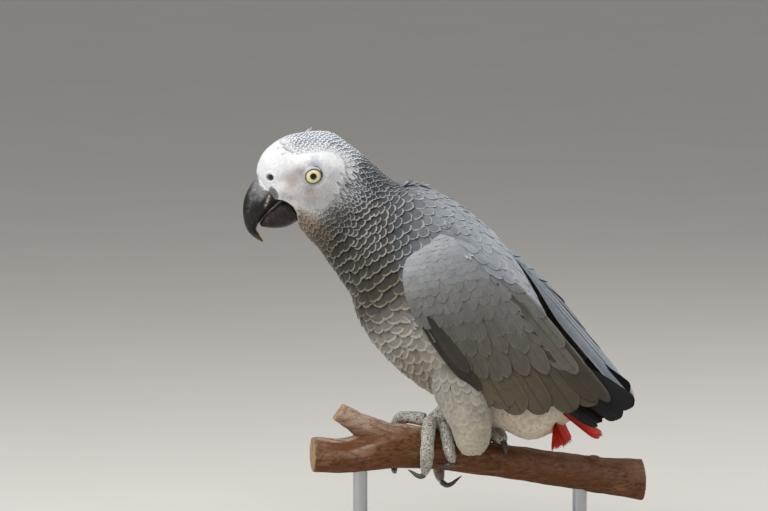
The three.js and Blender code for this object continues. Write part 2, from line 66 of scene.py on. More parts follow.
# Dorsal x and z, ventral x and z, half width, how far the widest level is raised, share of the head's turn.
BODY = [
    [-115.2, 201.7, -111.8, 197.2, 2.0, 0.0, 1],
    [-121.9, 210.8, -104.6, 188.7, 8.5, 0.0, 1],
    [-124.7, 215.8, -101.2, 184.8, 11.5, 0.0, 1],
    [-121.9, 224.3, -98.4, 181.4, 14.2, -0.03, 1],
    [-116.3, 230.5, -95.6, 178.0, 16.4, -0.05, 1],
    [-107.9, 235.3, -92.2, 174.6, 18.4, -0.07, 1],
    [-96.2, 237.6, -88.9, 170.7, 19.6, -0.08, 1],
    [-83.3, 237.4, -86.1, 166.1, 20.3, -0.06, 0.96],
    [-72.7, 230.2, -83.3, 162.1, 20.6, -0.03, 0.87],
    [-62.6, 222.4, -80.0, 157.5, 21.4, 0.0, 0.73],
    [-53.6, 214.0, -76.1, 151.7, 23.2, 0.03, 0.55],
    [-45.9, 208.6, -71.8, 144.9, 26.5, 0.06, 0.35],
    [-35.6, 208.7, -68.5, 134.6, 30.0, 0.09, 0.16],
    [-20.6, 202.6, -63.5, 125.1, 32.8, 0.1, 0],
    [-4.6, 192.6, -55.0, 114.0, 34.0, 0.1, 0],
    [10.9, 178.8, -42.4, 102.5, 34.0, 0.09, 0],
    [23.0, 162.4, -27.5, 92.1, 32.4, 0.07, 0],
    [33.5, 144.5, -8.0, 83.2, 29.5, 0.04, 0],
    [42.2, 126.8, 13.0, 73.4, 24.5, 0.0, 0],
    [48.5, 109.8, 28.6, 66.8, 18.5, 0.0, 0],
    [52.3, 96.6, 41.6, 70.6, 12.0, 0.0, 0],
    [54.5, 87.3, 50.8, 77.1, 5.0, 0.0, 0],
]
BODY_END = len(BODY) - 1.0


def row(table, at):
    """Smooth rows of a table at fractional row numbers.

    Between two rows b and c, with neighbours a and d, the value is the cubic that starts at b, ends at c and
    has the slopes (c - a) / 2 and (d - b) / 2 there.
    """
    table, at = np.asarray(table, float), np.asarray(at, float)
    last = len(table) - 1
    i = np.clip(np.floor(at), 0, last - 1).astype(int)
    t = (at - i)[..., None]
    b, c = table[i], table[i + 1]
    a = np.where((i > 0)[..., None], table[np.maximum(i - 1, 0)], 2 * b - c)
    d = np.where((i < last - 1)[..., None], table[np.minimum(i + 2, last)], 2 * c - b)
    into, out = (c - a) / 2, (d - b) / 2
    t2, t3 = t * t, t * t * t
    return (2 * t3 - 3 * t2 + 1) * b + (t3 - 2 * t2 + t) * into + (3 * t2 - 2 * t3) * c + (t3 - t2) * out


def turned(points, share=1.0):
    """Turns points of the head's own plane about the neck's upright axis, by a share of the head's turn."""
    angle = HEAD_TURN * np.asarray(share)
    along, across = points[..., 0] - NECK_PIVOT_X, points[..., 1]
    return np.stack([
        NECK_PIVOT_X + along * np.cos(angle) - across * np.sin(angle),
        along * np.sin(angle) + across * np.cos(angle),
        points[..., 2],
    ], -1)


def body_flat(s, angle):
    """The outline before the head is turned, and the share of the turn.

    With k = |sin angle| ^ (2 / fullness), a point is half * sin(angle) wide of the middle, and
    reach * (+-sqrt(1 - k) + rise * k) up along the section.
    """
    dx, dz, vx, vz, half, rise, turn = np.moveaxis(row(BODY, s), -1, 0)
    reach = np.hypot(dx - vx, dz - vz) / 2
    ux, uz = (dx - vx) / 2 / reach, (dz - vz) / 2 / reach
    k = np.abs(np.sin(angle)) ** (2 / FULLNESS)
    up = reach * (np.sign(np.cos(angle)) * np.sqrt(np.maximum(1 - k, 0)) + rise * k)
    middle_x, middle_z = (dx + vx) / 2, (dz + vz) / 2
    return np.stack([middle_x + ux * up, half * np.sin(angle), middle_z + uz * up], -1), turn


def body(s, angle):
    """A point of the feathered outline: section number s, and angle from the spine round to the right."""
    flat, turn = body_flat(np.asarray(s, float), np.asarray(angle, float))
    return turned(flat, turn)


print("sections:", len(BODY), "- highest point, mm:", round(float(body(6.5, 0.0)[2]), 1))

# %% [markdown]
# ## The folded wings
#
# A folded wing is a long curved plate lying on the flank. It is ruled between two edges: the leading edge low
# on the flank, and the back edge near the spine. `along` runs from shoulder to tip, and `across` from the
# leading edge to the back edge. The right wing rides a little off the back near its tip.

# %% Edges of the wing
WING = [
    [-28.1, 24, 179.1, -10.9, 24, 184.6, 5, 8],
    [-35.8, 31, 171.2, -0.4, 25, 179.9, 7, 10],
    [-37.2, 35, 160.4, 10.8, 24, 171.0, 8, 10],
    [-33.9, 37, 146.6, 23.7, 20, 159.6, 9, 9],
    [-27.1, 37, 133.3, 38.9, 16, 144.8, 10, 8],
    [-12.8, 34, 112.9, 60.7, 12, 117.7, 9, 6],
    [3.6, 31, 95.4, 85.4, 8, 86.6, 7, 4],
]  # leading edge x, y, z, back edge x, y, z, bulge, thickness
RIGHT_WING_RIDE = 7.0
RIDE_WAY = np.array([0.79, 0, 0.61])
SIDES = {"left": -1.0, "right": 1.0}


def wing(side, along, across):
    """A point of a folded wing's outer face.

    It is the blend of the leading and the back edge, standing out by bulge * 3.6 * across * (1 - across).
    """
    along, across = np.broadcast_arrays(np.asarray(along, float), np.asarray(across, float))
    lx, ly, lz, bx, by, bz, bulge, _ = np.moveaxis(row(WING, along * (len(WING) - 1)), -1, 0)
    out = bulge * 3.6 * across * (1 - across)
    y = ly + (by - ly) * across + out
    flat = np.stack([lx + (bx - lx) * across, side * y, lz + (bz - lz) * across], -1)
    if side < 0:
        return flat
    ride = RIGHT_WING_RIDE * np.sin(np.pi / 2 * np.clip(along, 0, 1)) ** 2.2
    return flat + (ride * across)[..., None] * RIDE_WAY


print("wing from shoulder to tip, mm:", round(float(np.ptp(wing(-1.0, [0, 1], 0.5), 0)[0]), 1))

# %% [markdown]
# ## Directions on a surface
#
# To lay a feather, its maker needs more than a place: which way runs towards the tail, which way runs across,
# and which way is out. All three come from two tiny steps on the surface. `Lay` keeps the surface formula
# together with the sense of its outward side, and answers for whole arrays of places at once.

# %% A surface that can be walked on
STEP = 1e-4


class Lay:
    """A surface point(a, b), with a running from root to tip of the feathers, and the sign of its outside."""

    def __init__(self, point, outside):
        self.point = point
        self.outside = outside

    def slopes(self, a, b):
        """The surface's change for a small change of a, and of b, by differences."""
        here = self.point(a, b)
        return here, (self.point(a + STEP, b) - here) / STEP, (self.point(a, b + STEP) - here) / STEP

    def out(self, a, b):
        """Place and outward unit normal: the cross product of the two slopes."""
        here, along, across = self.slopes(a, b)
        normal = np.cross(along, across) * self.outside
        return here, normal / np.maximum(np.linalg.norm(normal, axis=-1, keepdims=True), 1e-9)

    def steps(self, a, b):
        """How much a and b change for 1 mm along and for 1 mm square across, as three arrays.

        With t the unit way along, and q the unit way square to it on the surface: db = c / (Sb . q), and
        da = (l - (Sb . t) db) / |Sa|.
        """
        _, sa, sb = self.slopes(a, b)
        size = np.linalg.norm(sa, axis=-1)
        t = sa / size[..., None]
        normal = np.cross(sa, sb)
        normal /= np.linalg.norm(normal, axis=-1, keepdims=True)
        q = np.cross(normal, t)
        spread = (sb * q).sum(-1)
        spread = np.where(spread < 0, -1, 1) * np.maximum(np.abs(spread), 0.5)
        return 1 / size, (sb * t).sum(-1) / size, 1 / spread


BODY_LAY = Lay(body, 1.0)
EDGE_ROUND = 3.4  # radius that the coverts round the wing's long edges with


def wing_round(side, along, across):
    """The wing's face with both long edges rounded inwards.

    A little before an edge the face leaves the ruled surface and follows a circle: radius * sin(turn) on, and
    radius * (1 - cos(turn)) in, where turn is the way walked past that line over the radius, held under 2.4.
    """
    along, across = np.broadcast_arrays(np.asarray(along, float), np.asarray(across, float))
    chord = np.linalg.norm(wing(side, along, 1.0) - wing(side, along, 0.0), axis=-1)
    margin = np.minimum(EDGE_ROUND / chord, 0.3)
    kept = np.clip(across, margin, 1 - margin)
    face = wing(side, along, kept)
    over = wing(side, along, kept + STEP) - face
    over /= np.linalg.norm(over, axis=-1, keepdims=True)
    inward = np.cross(wing(side, along + STEP, kept) - face, over) * side
    inward /= np.linalg.norm(inward, axis=-1, keepdims=True)
    walked = (across - kept) * chord
    turn = 2.4 * np.tanh(np.abs(walked) / EDGE_ROUND / 2.4)
    on = np.sign(walked) * EDGE_ROUND * np.sin(turn)
    return face + over * on[..., None] + inward * (EDGE_ROUND * (1 - np.cos(turn)))[..., None]


WING_LAYS = {
    word: Lay(lambda a, b, side=side: wing_round(side, a, b), -side) for word, side in SIDES.items()
}
print("outward at the right flank:", BODY_LAY.out(np.array([15.0]), np.array([np.pi / 2]))[1].round(2))

# %% [markdown]
# ## Regions of the plumage
#
# A grey parrot is not one grey. Its crown is white with fine dark flecks, its neck has dark scallops with
# pale rims, and its belly is cream, partly as painted warm light reflected from below. Painted by hand on one
# big texture, that would be lost when a feather moves. Instead each region is a named place on the bird with
# a reach, and every field - colour of a feather's middle, colour of its rim, spacing, coat depth - is blended
# from the regions near it. The skin asks the same function, so skin and feathers always agree.

# %% The regions
# Place x, distance from the middle plane, z (before the head's turn); reach; the colour of a feather's middle
# and of its rim; spacing of the rows and within a row; depth of the coat; where the rim starts; looseness;
# length in rows; relief, which is how much the single feathers show.
REGIONS = {
    "forehead": [(-117, 6, 223), 7, "#e2e4e6", "#f5f6f6", 1.4, 1.6, 0.4, 0.50, 0.1, 2.2, 0.5],
    "crown": [(-98, 8, 235), 12, "#99a2b1", "#f6f9fe", 1.8, 1.9, 0.8, 0.50, 0.2, 2.2, 0.8],
    "hind_crown": [(-79, 9, 232), 9, "#868e9b", "#f4f7fc", 2.0, 2.3, 0.9, 0.56, 0.2, 2.2, 0.9],
    "face": [(-92, 19, 212), 12, "#e6e4e2", "#f3f1ef", 1.5, 1.6, 0.35, 0.40, 0.1, 2.2, 0.4],
    "ear": [(-74, 18, 211), 8, "#42454b", "#b4bcc7", 2.2, 1.9, 0.8, 0.45, 0.7, 3.6, 0.9],
    "cheek": [(-81, 20, 196), 8, "#3a3735", "#837f7b", 1.9, 2.3, 0.8, 0.72, 0.3, 2.2, 0.8],
    # The warm browns and creams low on the bird, from chin and throat down the neck front and breast to
    # belly, vent and rump end, are partly the plumage's own and partly painted warm light reflected from
    # below.
    "chin": [(-100, 10, 190), 7, "#817260", "#a99b87", 1.7, 2.1, 0.6, 0.55, 0.2, 2.2, 0.7],
    "throat": [(-93, 12, 181), 7, "#53483c", "#887760", 2.0, 2.9, 0.9, 0.76, 0.3, 2.2, 0.8],
    "nape": [(-60, 9, 216), 11, "#36393d", "#a5abb1", 2.4, 2.8, 1.2, 0.80, 0.2, 2.3, 1.0],
    "neck_side": [(-60, 23, 190), 13, "#454240", "#b0aca6", 2.6, 5.2, 1.4, 0.80, 0.2, 2.3, 1.0],
    "neck_front": [(-75, 17, 166), 12, "#3d3934", "#968e80", 2.9, 7.2, 1.5, 0.81, 0.25, 2.3, 1.0],
    "neck_base": [(-42, 25, 196), 12, "#43484d", "#a2a8ae", 3.0, 7.4, 1.5, 0.82, 0.3, 2.3, 1.0],
    "upper_breast": [(-63, 20, 148), 14, "#3f372d", "#918571", 3.5, 11.5, 1.8, 0.82, 0.4, 2.3, 1.0],
    "breast": [(-50, 24, 126), 14, "#97928b", "#c6c0b8", 3.4, 11.5, 1.6, 0.76, 0.5, 2.4, 0.8],
    "low_breast": [(-36, 18, 106), 13, "#847b6d", "#aaa192", 3.3, 10.5, 1.3, 0.72, 0.6, 2.6, 0.6],
    "mantle": [(-24, 16, 200), 15, "#979ea5", "#bdc4ca", 4.8, 5.2, 1.4, 0.86, 0.6, 3.0, 0.6],
    "mantle_side": [(-20, 27, 190), 9, "#737980", "#9aa0a6", 4.0, 4.6, 1.4, 0.86, 0.4, 2.6, 0.7],
    # The scapular region is painted darker than the back, as the shade that falls towards the wing.
    "scapular": [(2, 26, 176), 8, "#858c93", "#9ca3aa", 5.4, 4.6, 1.1, 0.82, 0.4, 3.2, 0.45],
    "back": [(12, 14, 178), 22, "#aab1b9", "#c2c9d0", 6.2, 5.0, 1.1, 0.80, 0.4, 3.2, 0.35],
    "low_back": [(40, 10, 128), 22, "#949a9f", "#adb3b8", 6.2, 5.4, 1.1, 0.82, 0.4, 3.2, 0.35],
    "flank": [(0, 33, 120), 20, "#aba497", "#beb7ab", 5.0, 6.0, 0.9, 0.60, 0.6, 2.8, 0.2],
    "belly": [(-14, 10, 88), 16, "#c1b7a7", "#d0c8b7", 4.8, 5.6, 0.8, 0.60, 0.8, 2.8, 0.12],
    "vent": [(22, 12, 78), 18, "#d8cab4", "#e4d7c1", 4.8, 5.6, 0.8, 0.60, 0.8, 2.8, 0.12],
    "rump_end": [(48, 5, 82), 9, "#d1c5b1", "#ded3c0", 4.4, 5.0, 0.9, 0.60, 0.8, 2.6, 0.2],
}
PLACES = np.array([[r[0][0], r[0][1], r[0][2]] for r in REGIONS.values()], float)
REACHES = np.array([r[1] for r in REGIONS.values()], float)


def linear(text):
    """A colour written #rrggbb, as the linear light values that a shader works in."""
    c = np.array([int(text[i:i + 2], 16) for i in (1, 3, 5)]) / 255
    return np.where(c <= 0.04045, c / 12.92, ((c + 0.055) / 1.055) ** 2.4)


FIELDS = np.array([[*linear(r[2]), *linear(r[3]), *r[4:]] for r in REGIONS.values()])
FIELD_NAMES = ["row", "wide", "depth", "rim", "loose", "long", "relief"]


def plumage(flat):
    """Every field at places of the unturned bird: each region counts by exp(-(distance / reach)^2)."""
    place = np.asarray(flat, float).reshape(-1, 3).copy()
    place[:, 1] = np.abs(place[:, 1])
    near = np.empty((len(place), len(PLACES)))
    for k, (spot, reach) in enumerate(zip(PLACES, REACHES)):
        near[:, k] = ((place - spot) ** 2).sum(1) / reach**2
    weight = np.exp(-(near - near.min(1, keepdims=True)))
    values = (weight / weight.sum(1, keepdims=True)) @ FIELDS
    found = {"middle": values[:, :3], "edge": values[:, 3:6]}
    return found | {name: values[:, 6 + i] for i, name in enumerate(FIELD_NAMES)}


# The bare face in the head's own plane, as x and z round its border.
FACE = np.array([
    (-136, 240), (-113.5, 234), (-111.5, 229), (-108.5, 226.2), (-104, 225.2), (-98.4, 225.6), (-91.7, 226.6),
    (-85.5, 227.0), (-80.0, 225.6), (-76.6, 222.0), (-75.8, 217.0), (-77.4, 212.0), (-79.2, 207.0),
    (-81.5, 202.6), (-85.5, 198.8), (-90.4, 196.4), (-95.0, 196.0), (-99.4, 197.6), (-103.4, 200.0),
    (-108.0, 202.0), (-115.0, 202.0), (-136, 199),
])


# Where the lower half of the bill comes out of the head, closed round in front of it.
MOUTH = np.array([
    (-113.5, 201.4), (-110.2, 201.3), (-107.0, 200.0), (-103.8, 197.4), (-102.0, 193.6), (-101.6, 187.4),
    (-103, 176), (-140, 176), (-140, 202.6),
])


def past(border, flat):
    """Distance in mm beyond a border, and less than nothing inside it.

    The distance to an outline is the least distance to its edges, and a point is inside when a line drawn
    from it crosses the outline an odd number of times.
    """
    p = np.asarray(flat, float).reshape(-1, 3)[:, [0, 2]]
    a, b = border, np.roll(border, -1, 0)
    run = b - a
    t = np.clip(((p[:, None] - a) * run).sum(-1) / (run**2).sum(-1), 0, 1)
    near = np.linalg.norm(p[:, None] - (a + t[..., None] * run), axis=-1).min(1)
    level = (a[:, 1] > p[:, 1:2]) != (b[:, 1] > p[:, 1:2])
    slope = np.where(run[:, 1] == 0, 1e-9, run[:, 1])
    crossing = a[:, 0] + (p[:, 1:2] - a[:, 1]) / slope * run[:, 0]
    inside = (level & (p[:, :1] < crossing)).sum(1) % 2 == 1
    return np.where(inside, -near, near)


def smooth(low, high, value):
    """0 below low, 1 above high, and the smooth 3t^2 - 2t^3 between."""
    t = np.clip((value - low) / (high - low), 0, 1)
    return t * t * (3 - 2 * t)


def bell(value, reach):
    """1 at nought, falling on both sides as exp(-(value / reach)^2)."""
    return np.exp(-((value / reach) ** 2))


def blend(colour, *layers):
    """Lays colours over each point's own, one by one. A layer is a share for each point, and a colour."""
    for share, tone in layers:
        colour = colour + (linear(tone) - colour) * np.clip(share, 0, 1)[:, None]
    return colour


print("regions:", len(REGIONS), "- fields at the eye's height:", plumage([(-92, 19, 212)])["middle"].round(2))

# %% [markdown]
# ## Three small tools: noise, meshes and materials
#
# Nature is never even, so most pieces ask for a smooth random value at each point. The mesh tool takes whole
# arrays of corners and faces, which is much faster than adding them one by one. The material tool links
# shader nodes by plain names, so each finish later reads as a short recipe.

# %% Noise, meshes and materials
HASH = rng.uniform(-1, 1, 8192)
HASH_MASK = len(HASH) - 1
PRIMES = np.array([73856093, 19349663, 83492791])


def noise(points, size, seed=0, layers=1):
    """Smooth random values in -1..1 that change over about `size` mm.

    Each corner of a lattice has a random value, and a point blends its cell's eight corners by 3t^2 - 2t^3.
    Each further layer is twice as fine and half as strong.
    """
    total, strength = 0.0, 1.0
    for layer in range(layers):
        p = np.asarray(points, float) / size * 2**layer + 17.3 * (seed + layer)
        low = np.floor(p).astype(np.int64)
        t = p - low
        t = t * t * (3 - 2 * t)
        value = 0.0
        for corner in np.ndindex(2, 2, 2):
            mixed = (low + corner) * PRIMES
            spot = (mixed[..., 0] ^ mixed[..., 1] ^ mixed[..., 2]) & HASH_MASK
            share = np.prod(np.where(np.array(corner) == 1, t, 1 - t), -1)
            value = value + HASH[spot] * share
        total = total + strength * value
        strength /= 2
    return total / (2 - 2 * strength)


def mesh_piece(name, points, faces, slot, material, replaces=()):
    """A piece from corners in mm and a list of face arrays (quads, triangles).

    It rides on the root body, hides the solids it stands for and takes the material given; `slot`, the kind
    of finish, is not used.
    """
    mesh = bpy.data.meshes.new(name)
    corners = np.concatenate([np.asarray(f).ravel() for f in faces])
    sizes = np.concatenate([np.full(len(f), np.shape(f)[1]) for f in faces])
    mesh.vertices.add(len(points))
    mesh.vertices.foreach_set("co", (np.asarray(points, np.float32) * MM).ravel())
    mesh.loops.add(len(corners))
    mesh.loops.foreach_set("vertex_index", corners.astype(np.int32))
    mesh.polygons.add(len(sizes))
    mesh.polygons.foreach_set("loop_start", (np.cumsum(sizes) - sizes).astype(np.int32))
    mesh.update(calc_edges=True)
    mesh.polygons.foreach_set("use_smooth", np.ones(len(sizes), bool))
    mesh.materials.append(material)
    piece = bpy.data.objects.new(name, mesh)
    bpy.context.scene.collection.objects.link(piece)
    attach(piece, "root")
    if replaces:
        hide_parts(*replaces)
    print(f"{name}: {(sizes - 2).sum()} triangles")
    return piece


def paint(piece, name, values):
    """Stores one value or colour for each corner point, for the piece's material to read."""
    values = np.asarray(values, np.float32)
    if values.ndim == 1:
        made = piece.data.attributes.new(name, "FLOAT", "POINT")
        made.data.foreach_set("value", values)
    else:
        made = piece.data.color_attributes.new(name, "FLOAT_COLOR", "POINT")
        opaque = np.ones(len(values), np.float32)
        made.data.foreach_set("color", np.column_stack([values[:, :3], opaque]).ravel())


def points_of(piece):
    """A piece's corner points in mm, and its normals there."""
    count = len(piece.data.vertices)
    place, normal = np.empty(count * 3, np.float32), np.empty(count * 3, np.float32)
    piece.data.vertices.foreach_get("co", place)
    piece.data.vertex_normals.foreach_get("vector", normal)
    return place.reshape(-1, 3).astype(float) / MM, normal.reshape(-1, 3).astype(float)


def tree_of(places):
    """A search tree that finds the nearest of many places."""
    tree = KDTree(len(places))
    for i, spot in enumerate(places):
        tree.insert(spot, i)
    tree.balance()
    return tree


def applied(piece):
    """Makes what a piece's modifiers show its own mesh, shaded smooth."""
    bpy.context.view_layer.update()
    shown = piece.evaluated_get(bpy.context.evaluated_depsgraph_get())
    result = bpy.data.meshes.new_from_object(shown)
    piece.modifiers.clear()
    piece.data = result
    result.polygons.foreach_set("use_smooth", np.ones(len(result.polygons), bool))


def tube_faces(rings, around):
    """Quads between rings of points, and the two fans that close the ends on a middle point each."""
    i, j = np.meshgrid(np.arange(rings - 1), np.arange(around), indexing="ij")
    a, b = i * around + j, i * around + (j + 1) % around
    quads = np.stack([a, b, b + around, a + around], -1).reshape(-1, 4)
    k = np.arange(around)
    after = (k + 1) % around
    end = (rings - 1) * around
    first = np.stack([np.full(around, rings * around), after, k], -1)
    last = np.stack([np.full(around, rings * around + 1), end + k, end + after], -1)
    return [quads, np.concatenate([first, last])]


def capped(rings):
    """Rings of points as one list, with the middle of the first and of the last ring added for the fans."""
    flat = rings.reshape(-1, 3)
    return np.concatenate([flat, rings[:1].mean(1), rings[-1:].mean(1)])


def outward(faces, points):
    """The same faces, all turned round if the closed form they make has a negative volume."""
    volume = 0.0
    for f in faces:
        a = points[f[:, 0]]
        for k in range(1, np.shape(f)[1] - 1):
            volume += (a * np.cross(points[f[:, k]], points[f[:, k + 1]])).sum()
    return [f[:, ::-1] for f in faces] if volume < 0 else faces


def gathered(shells):
    """Points and faces of several closed shells, each given as rings of points."""
    points, faces, start = [], [], 0
    for rings in shells:
        here = capped(rings)
        faces += [f + start for f in outward(tube_faces(*rings.shape[:2]), here)]
        points.append(here)
        start += len(here)
    return np.concatenate(points), faces


def lofted(name, rings, slot, material, replaces=()):
    """A closed piece through rings of points, each an array of the same length."""
    return mesh_piece(name, *gathered([rings]), slot, material, replaces)


class Recipe:
    """A material as a short list of linked nodes.

    `add` makes a node, and its inputs may be values or other nodes' outputs. The other methods are its short
    forms, and `done` links the colour and the roughness.
    """

    def __init__(self, name, **surface):
        self.material = bpy.data.materials.new(name)
        self.material.use_nodes = True
        self.tree = self.material.node_tree
        self.shader = next(n for n in self.tree.nodes if n.type == "BSDF_PRINCIPLED")
        for key, value in surface.items():
            self.put(self.shader.inputs[key.replace("_", " ")], value)

    def put(self, socket, value):
        if isinstance(value, bpy.types.NodeSocket):
            self.tree.links.new(value, socket)
        elif isinstance(value, bpy.types.Node):
            self.tree.links.new(value.outputs[0], socket)
        else:
            socket.default_value = value

    def add(self, kind, inputs=(), **settings):
        node = self.tree.nodes.new("ShaderNode" + kind)
        for key, value in settings.items():
            setattr(node, key, value)
        for key, value in dict(inputs).items():
            self.put(node.inputs[key], value)
        return node

    def math(self, operation, a, b=0.0):
        return self.add("Math", {0: a, 1: b}, operation=operation).outputs[0]

    def times(self, a, b):
        return self.math("MULTIPLY", a, b)

    def plus(self, a, b):
        return self.math("ADD", a, b)

    def minus(self, a, b):
        return self.math("SUBTRACT", a, b)

    def range(self, value, low, high, start=0.0, end=1.0):
        """A value between start and end, that follows another between low and high by 3t^2 - 2t^3."""
        ends = {"From Min": low, "From Max": high, "To Min": start, "To Max": end}
        return self.add("MapRange", {"Value": value} | ends, interpolation_type="SMOOTHSTEP").outputs[0]

    def mix(self, share, a, b, how="MIX"):
        node = self.tree.nodes.new("ShaderNodeMix")
        node.data_type = "RGBA"
        node.blend_type = how
        self.put(node.inputs[0], share)
        self.put(node.inputs[6], a)
        self.put(node.inputs[7], b)
        return node.outputs[2]

    def place(self):
        return self.add("TexCoord").outputs["Object"]

    def stretched(self, scale, turn=0.0):
        """The place, turned about the upright axis and scaled, so that a pattern runs along one way."""
        inputs = {"Vector": self.place(), "Rotation": (0, 0, turn), "Scale": scale}
        return self.add("Mapping", inputs).outputs[0]

    def noise(self, size, detail=3.0, where=None, roughness=0.55):
        """Noise whose features are about `size` mm wide."""
        inputs = {"Scale": 1 / (size * MM), "Detail": detail, "Roughness": roughness}
        inputs["Vector"] = where or self.place()
        return self.add("TexNoise", inputs).outputs[0]

    def read(self, name, kind="Fac"):
        return self.add("Attribute", attribute_name=name).outputs[kind]

    def bump(self, height, strength, distance):
        node = self.add("Bump", {"Height": height, "Strength": strength, "Distance": distance * MM})
        self.put(self.shader.inputs["Normal"], node.outputs[0])

    def done(self, colour, roughness=None):
        self.put(self.shader.inputs["Base Color"], colour)
        if roughness is not None:
            self.put(self.shader.inputs["Roughness"], roughness)
        return self.material


def grey(text):
    """A colour written #rrggbb as the four numbers that a shader socket holds."""
    return (*linear(text), 1.0)


print("noise at three places:", noise(np.array([[0, 0, 0], [5, 0, 0], [9, 4, 2.0]]), 4).round(2))

# %% [markdown]
# ## Camera, light and floor
#
# The bird is seen from its left, a little from behind and above, and from far away, so that its proportions
# stay true. The light is soft: one wide panel overhead, two weaker ones before and behind the bird, and a
# pale sky.

# %% Camera, light and floor
VIEW_TURN, VIEW_RISE = math.radians(12), math.radians(7)
VIEW_WIDTH = 430.0  # mm that the camera sees across, at the bird
VIEW_FROM = 3000.0  # mm that it stands away
SENSOR = 36  # mm, the usual width of a camera's sensor
AIM_FROM = np.array([0, 0, 46.0])  # a point in the branch
AIM_ALONG, AIM_UP = -52.6, 122.4  # where the camera aims, to its right and up from that point
LIGHTS_AT = np.array([-20.0, 0, 130])  # the middle of the bird
RIGHT = np.array([math.cos(VIEW_TURN), math.sin(VIEW_TURN), 0])
UP = np.array([-math.sin(VIEW_TURN) * math.sin(VIEW_RISE), math.cos(VIEW_TURN) * math.sin(VIEW_RISE),
               math.cos(VIEW_RISE)])
AWAY = np.cross(UP, RIGHT)
AIM = AIM_FROM + AIM_ALONG * RIGHT + AIM_UP * UP


def looks_at(thing, place, target):
    """Puts a camera or light at a place, in mm, turned towards a target."""
    thing.location = Vector(place * MM)
    way = Vector(target - place)
    thing.rotation_euler = way.to_track_quat("-Z", "Y").to_euler()
    bpy.context.scene.collection.objects.link(thing)


camera = bpy.data.objects.new("camera", bpy.data.cameras.new("camera"))
camera.data.sensor_width = SENSOR
camera.data.lens = SENSOR * VIEW_FROM / VIEW_WIDTH
camera.data.clip_end = 20
looks_at(camera, AIM - AWAY * VIEW_FROM, AIM)
bpy.context.scene.camera = camera

LIGHTS = {
    "sky_panel": [(-200, -380, 1000), 0.9, 9.5, (1.0, 0.99, 0.975)],
    "front_panel": [(-900, -700, 400), 0.9, 2.4, (0.95, 0.97, 1.0)],
    "back_panel": [(700, 500, 800), 0.8, 3.6, (0.97, 0.98, 1.0)],
}  # place, size in m, power in watts, colour
for name, (place, size, power, colour) in LIGHTS.items():
    lamp = bpy.data.objects.new(name, bpy.data.lights.new(name, "AREA"))
    lamp.data.shape = "SQUARE"
    lamp.data.size = size
    lamp.data.energy = power
    lamp.data.color = colour
    looks_at(lamp, np.array(place, float), LIGHTS_AT)

world = bpy.data.worlds.new("sky")
world.use_nodes = True
sky = world.node_tree.nodes["Background"]
sky.inputs["Color"].default_value = (0.84, 0.83, 0.82, 1)
sky.inputs["Strength"].default_value = 0.36
bpy.context.scene.world = world
bpy.context.scene.view_settings.view_transform = "Standard"

FLOOR_REACH = 6.0  # metres from the middle to each side
f = Recipe("floor_paint", Roughness=0.8)
tint = f.mix(f.noise(90, 4), grey("#d9d6d0"), grey("#dfdcd7"))
floor_mesh = bpy.data.meshes.new("floor")
corners = [(x * FLOOR_REACH, y * FLOOR_REACH, 0) for x, y in ((-1, -1), (1, -1), (1, 1), (-1, 1))]
floor_mesh.from_pydata(corners, [], [(0, 1, 2, 3)])
floor_mesh.materials.append(f.done(tint))
floor = bpy.data.objects.new("floor", floor_mesh)
bpy.context.scene.collection.objects.link(floor)
print("lens, mm:", round(camera.data.lens))

# %% [markdown]
# ## One skin under everything
#
# Under its feathers the parrot has one skin: over the bare face it is what you see, and elsewhere it lies
# under the coat. It is made as one fine grid over the body formula, sunk by the depth of the coat, with the
# arms of the wings and the thighs joined to it by a boolean, so that no seam shows. The grid is finest over
# the face, which needs its folds.

# %% Folds of the bare face
EYE = {"x": -92.7, "side": 13.6, "z": 214.7, "radius": 6.6, "opening": 4.05}
NOSTRIL = {"x": -116.9, "z": 213.3, "radius": 1.95}
# Soft hollows (less than 0) and swellings of the face: x, z, reach and height.
FACE_FORMS = [
    [-104.0, 213.0, 4.8, -1.5], [-101.5, 221.5, 4.0, 0.9], [-94.5, 223.6, 3.6, 1.1],
    [-86.5, 223.4, 3.6, 1.0], [-92.0, 220.2, 2.6, -0.5], [-82.5, 214.0, 4.6, -0.8],
    [-98.0, 207.8, 3.4, -0.5], [-99.0, 203.5, 4.5, 0.5], [-88.0, 203.5, 5.0, 0.4],
    [-116.5, 219.0, 4.5, 0.6], [-110.0, 206.0, 3.0, 0.6], [-110.5, 211.0, 2.6, -0.5],
    [-80.0, 219.5, 3.6, 0.6],
]
EYE_TILT = math.radians(20)
EYE_LONG, EYE_HIGH = 0.93, 1.09  # what distances along and across the tilted oval of the lids count for


def eye_distance(flat):
    """Distance from the eye's middle, in a frame tilted with the lids and stretched along them.

    Where it is the same, it draws an oval: that of the lids' opening, and those of the creases round it.
    """
    across, up = flat[..., 0] - EYE["x"], flat[..., 2] - EYE["z"]
    long = across * math.cos(EYE_TILT) + up * math.sin(EYE_TILT)
    high = up * math.cos(EYE_TILT) - across * math.sin(EYE_TILT)
    return np.hypot(long * EYE_LONG, high * EYE_HIGH), np.arctan2(high, long)


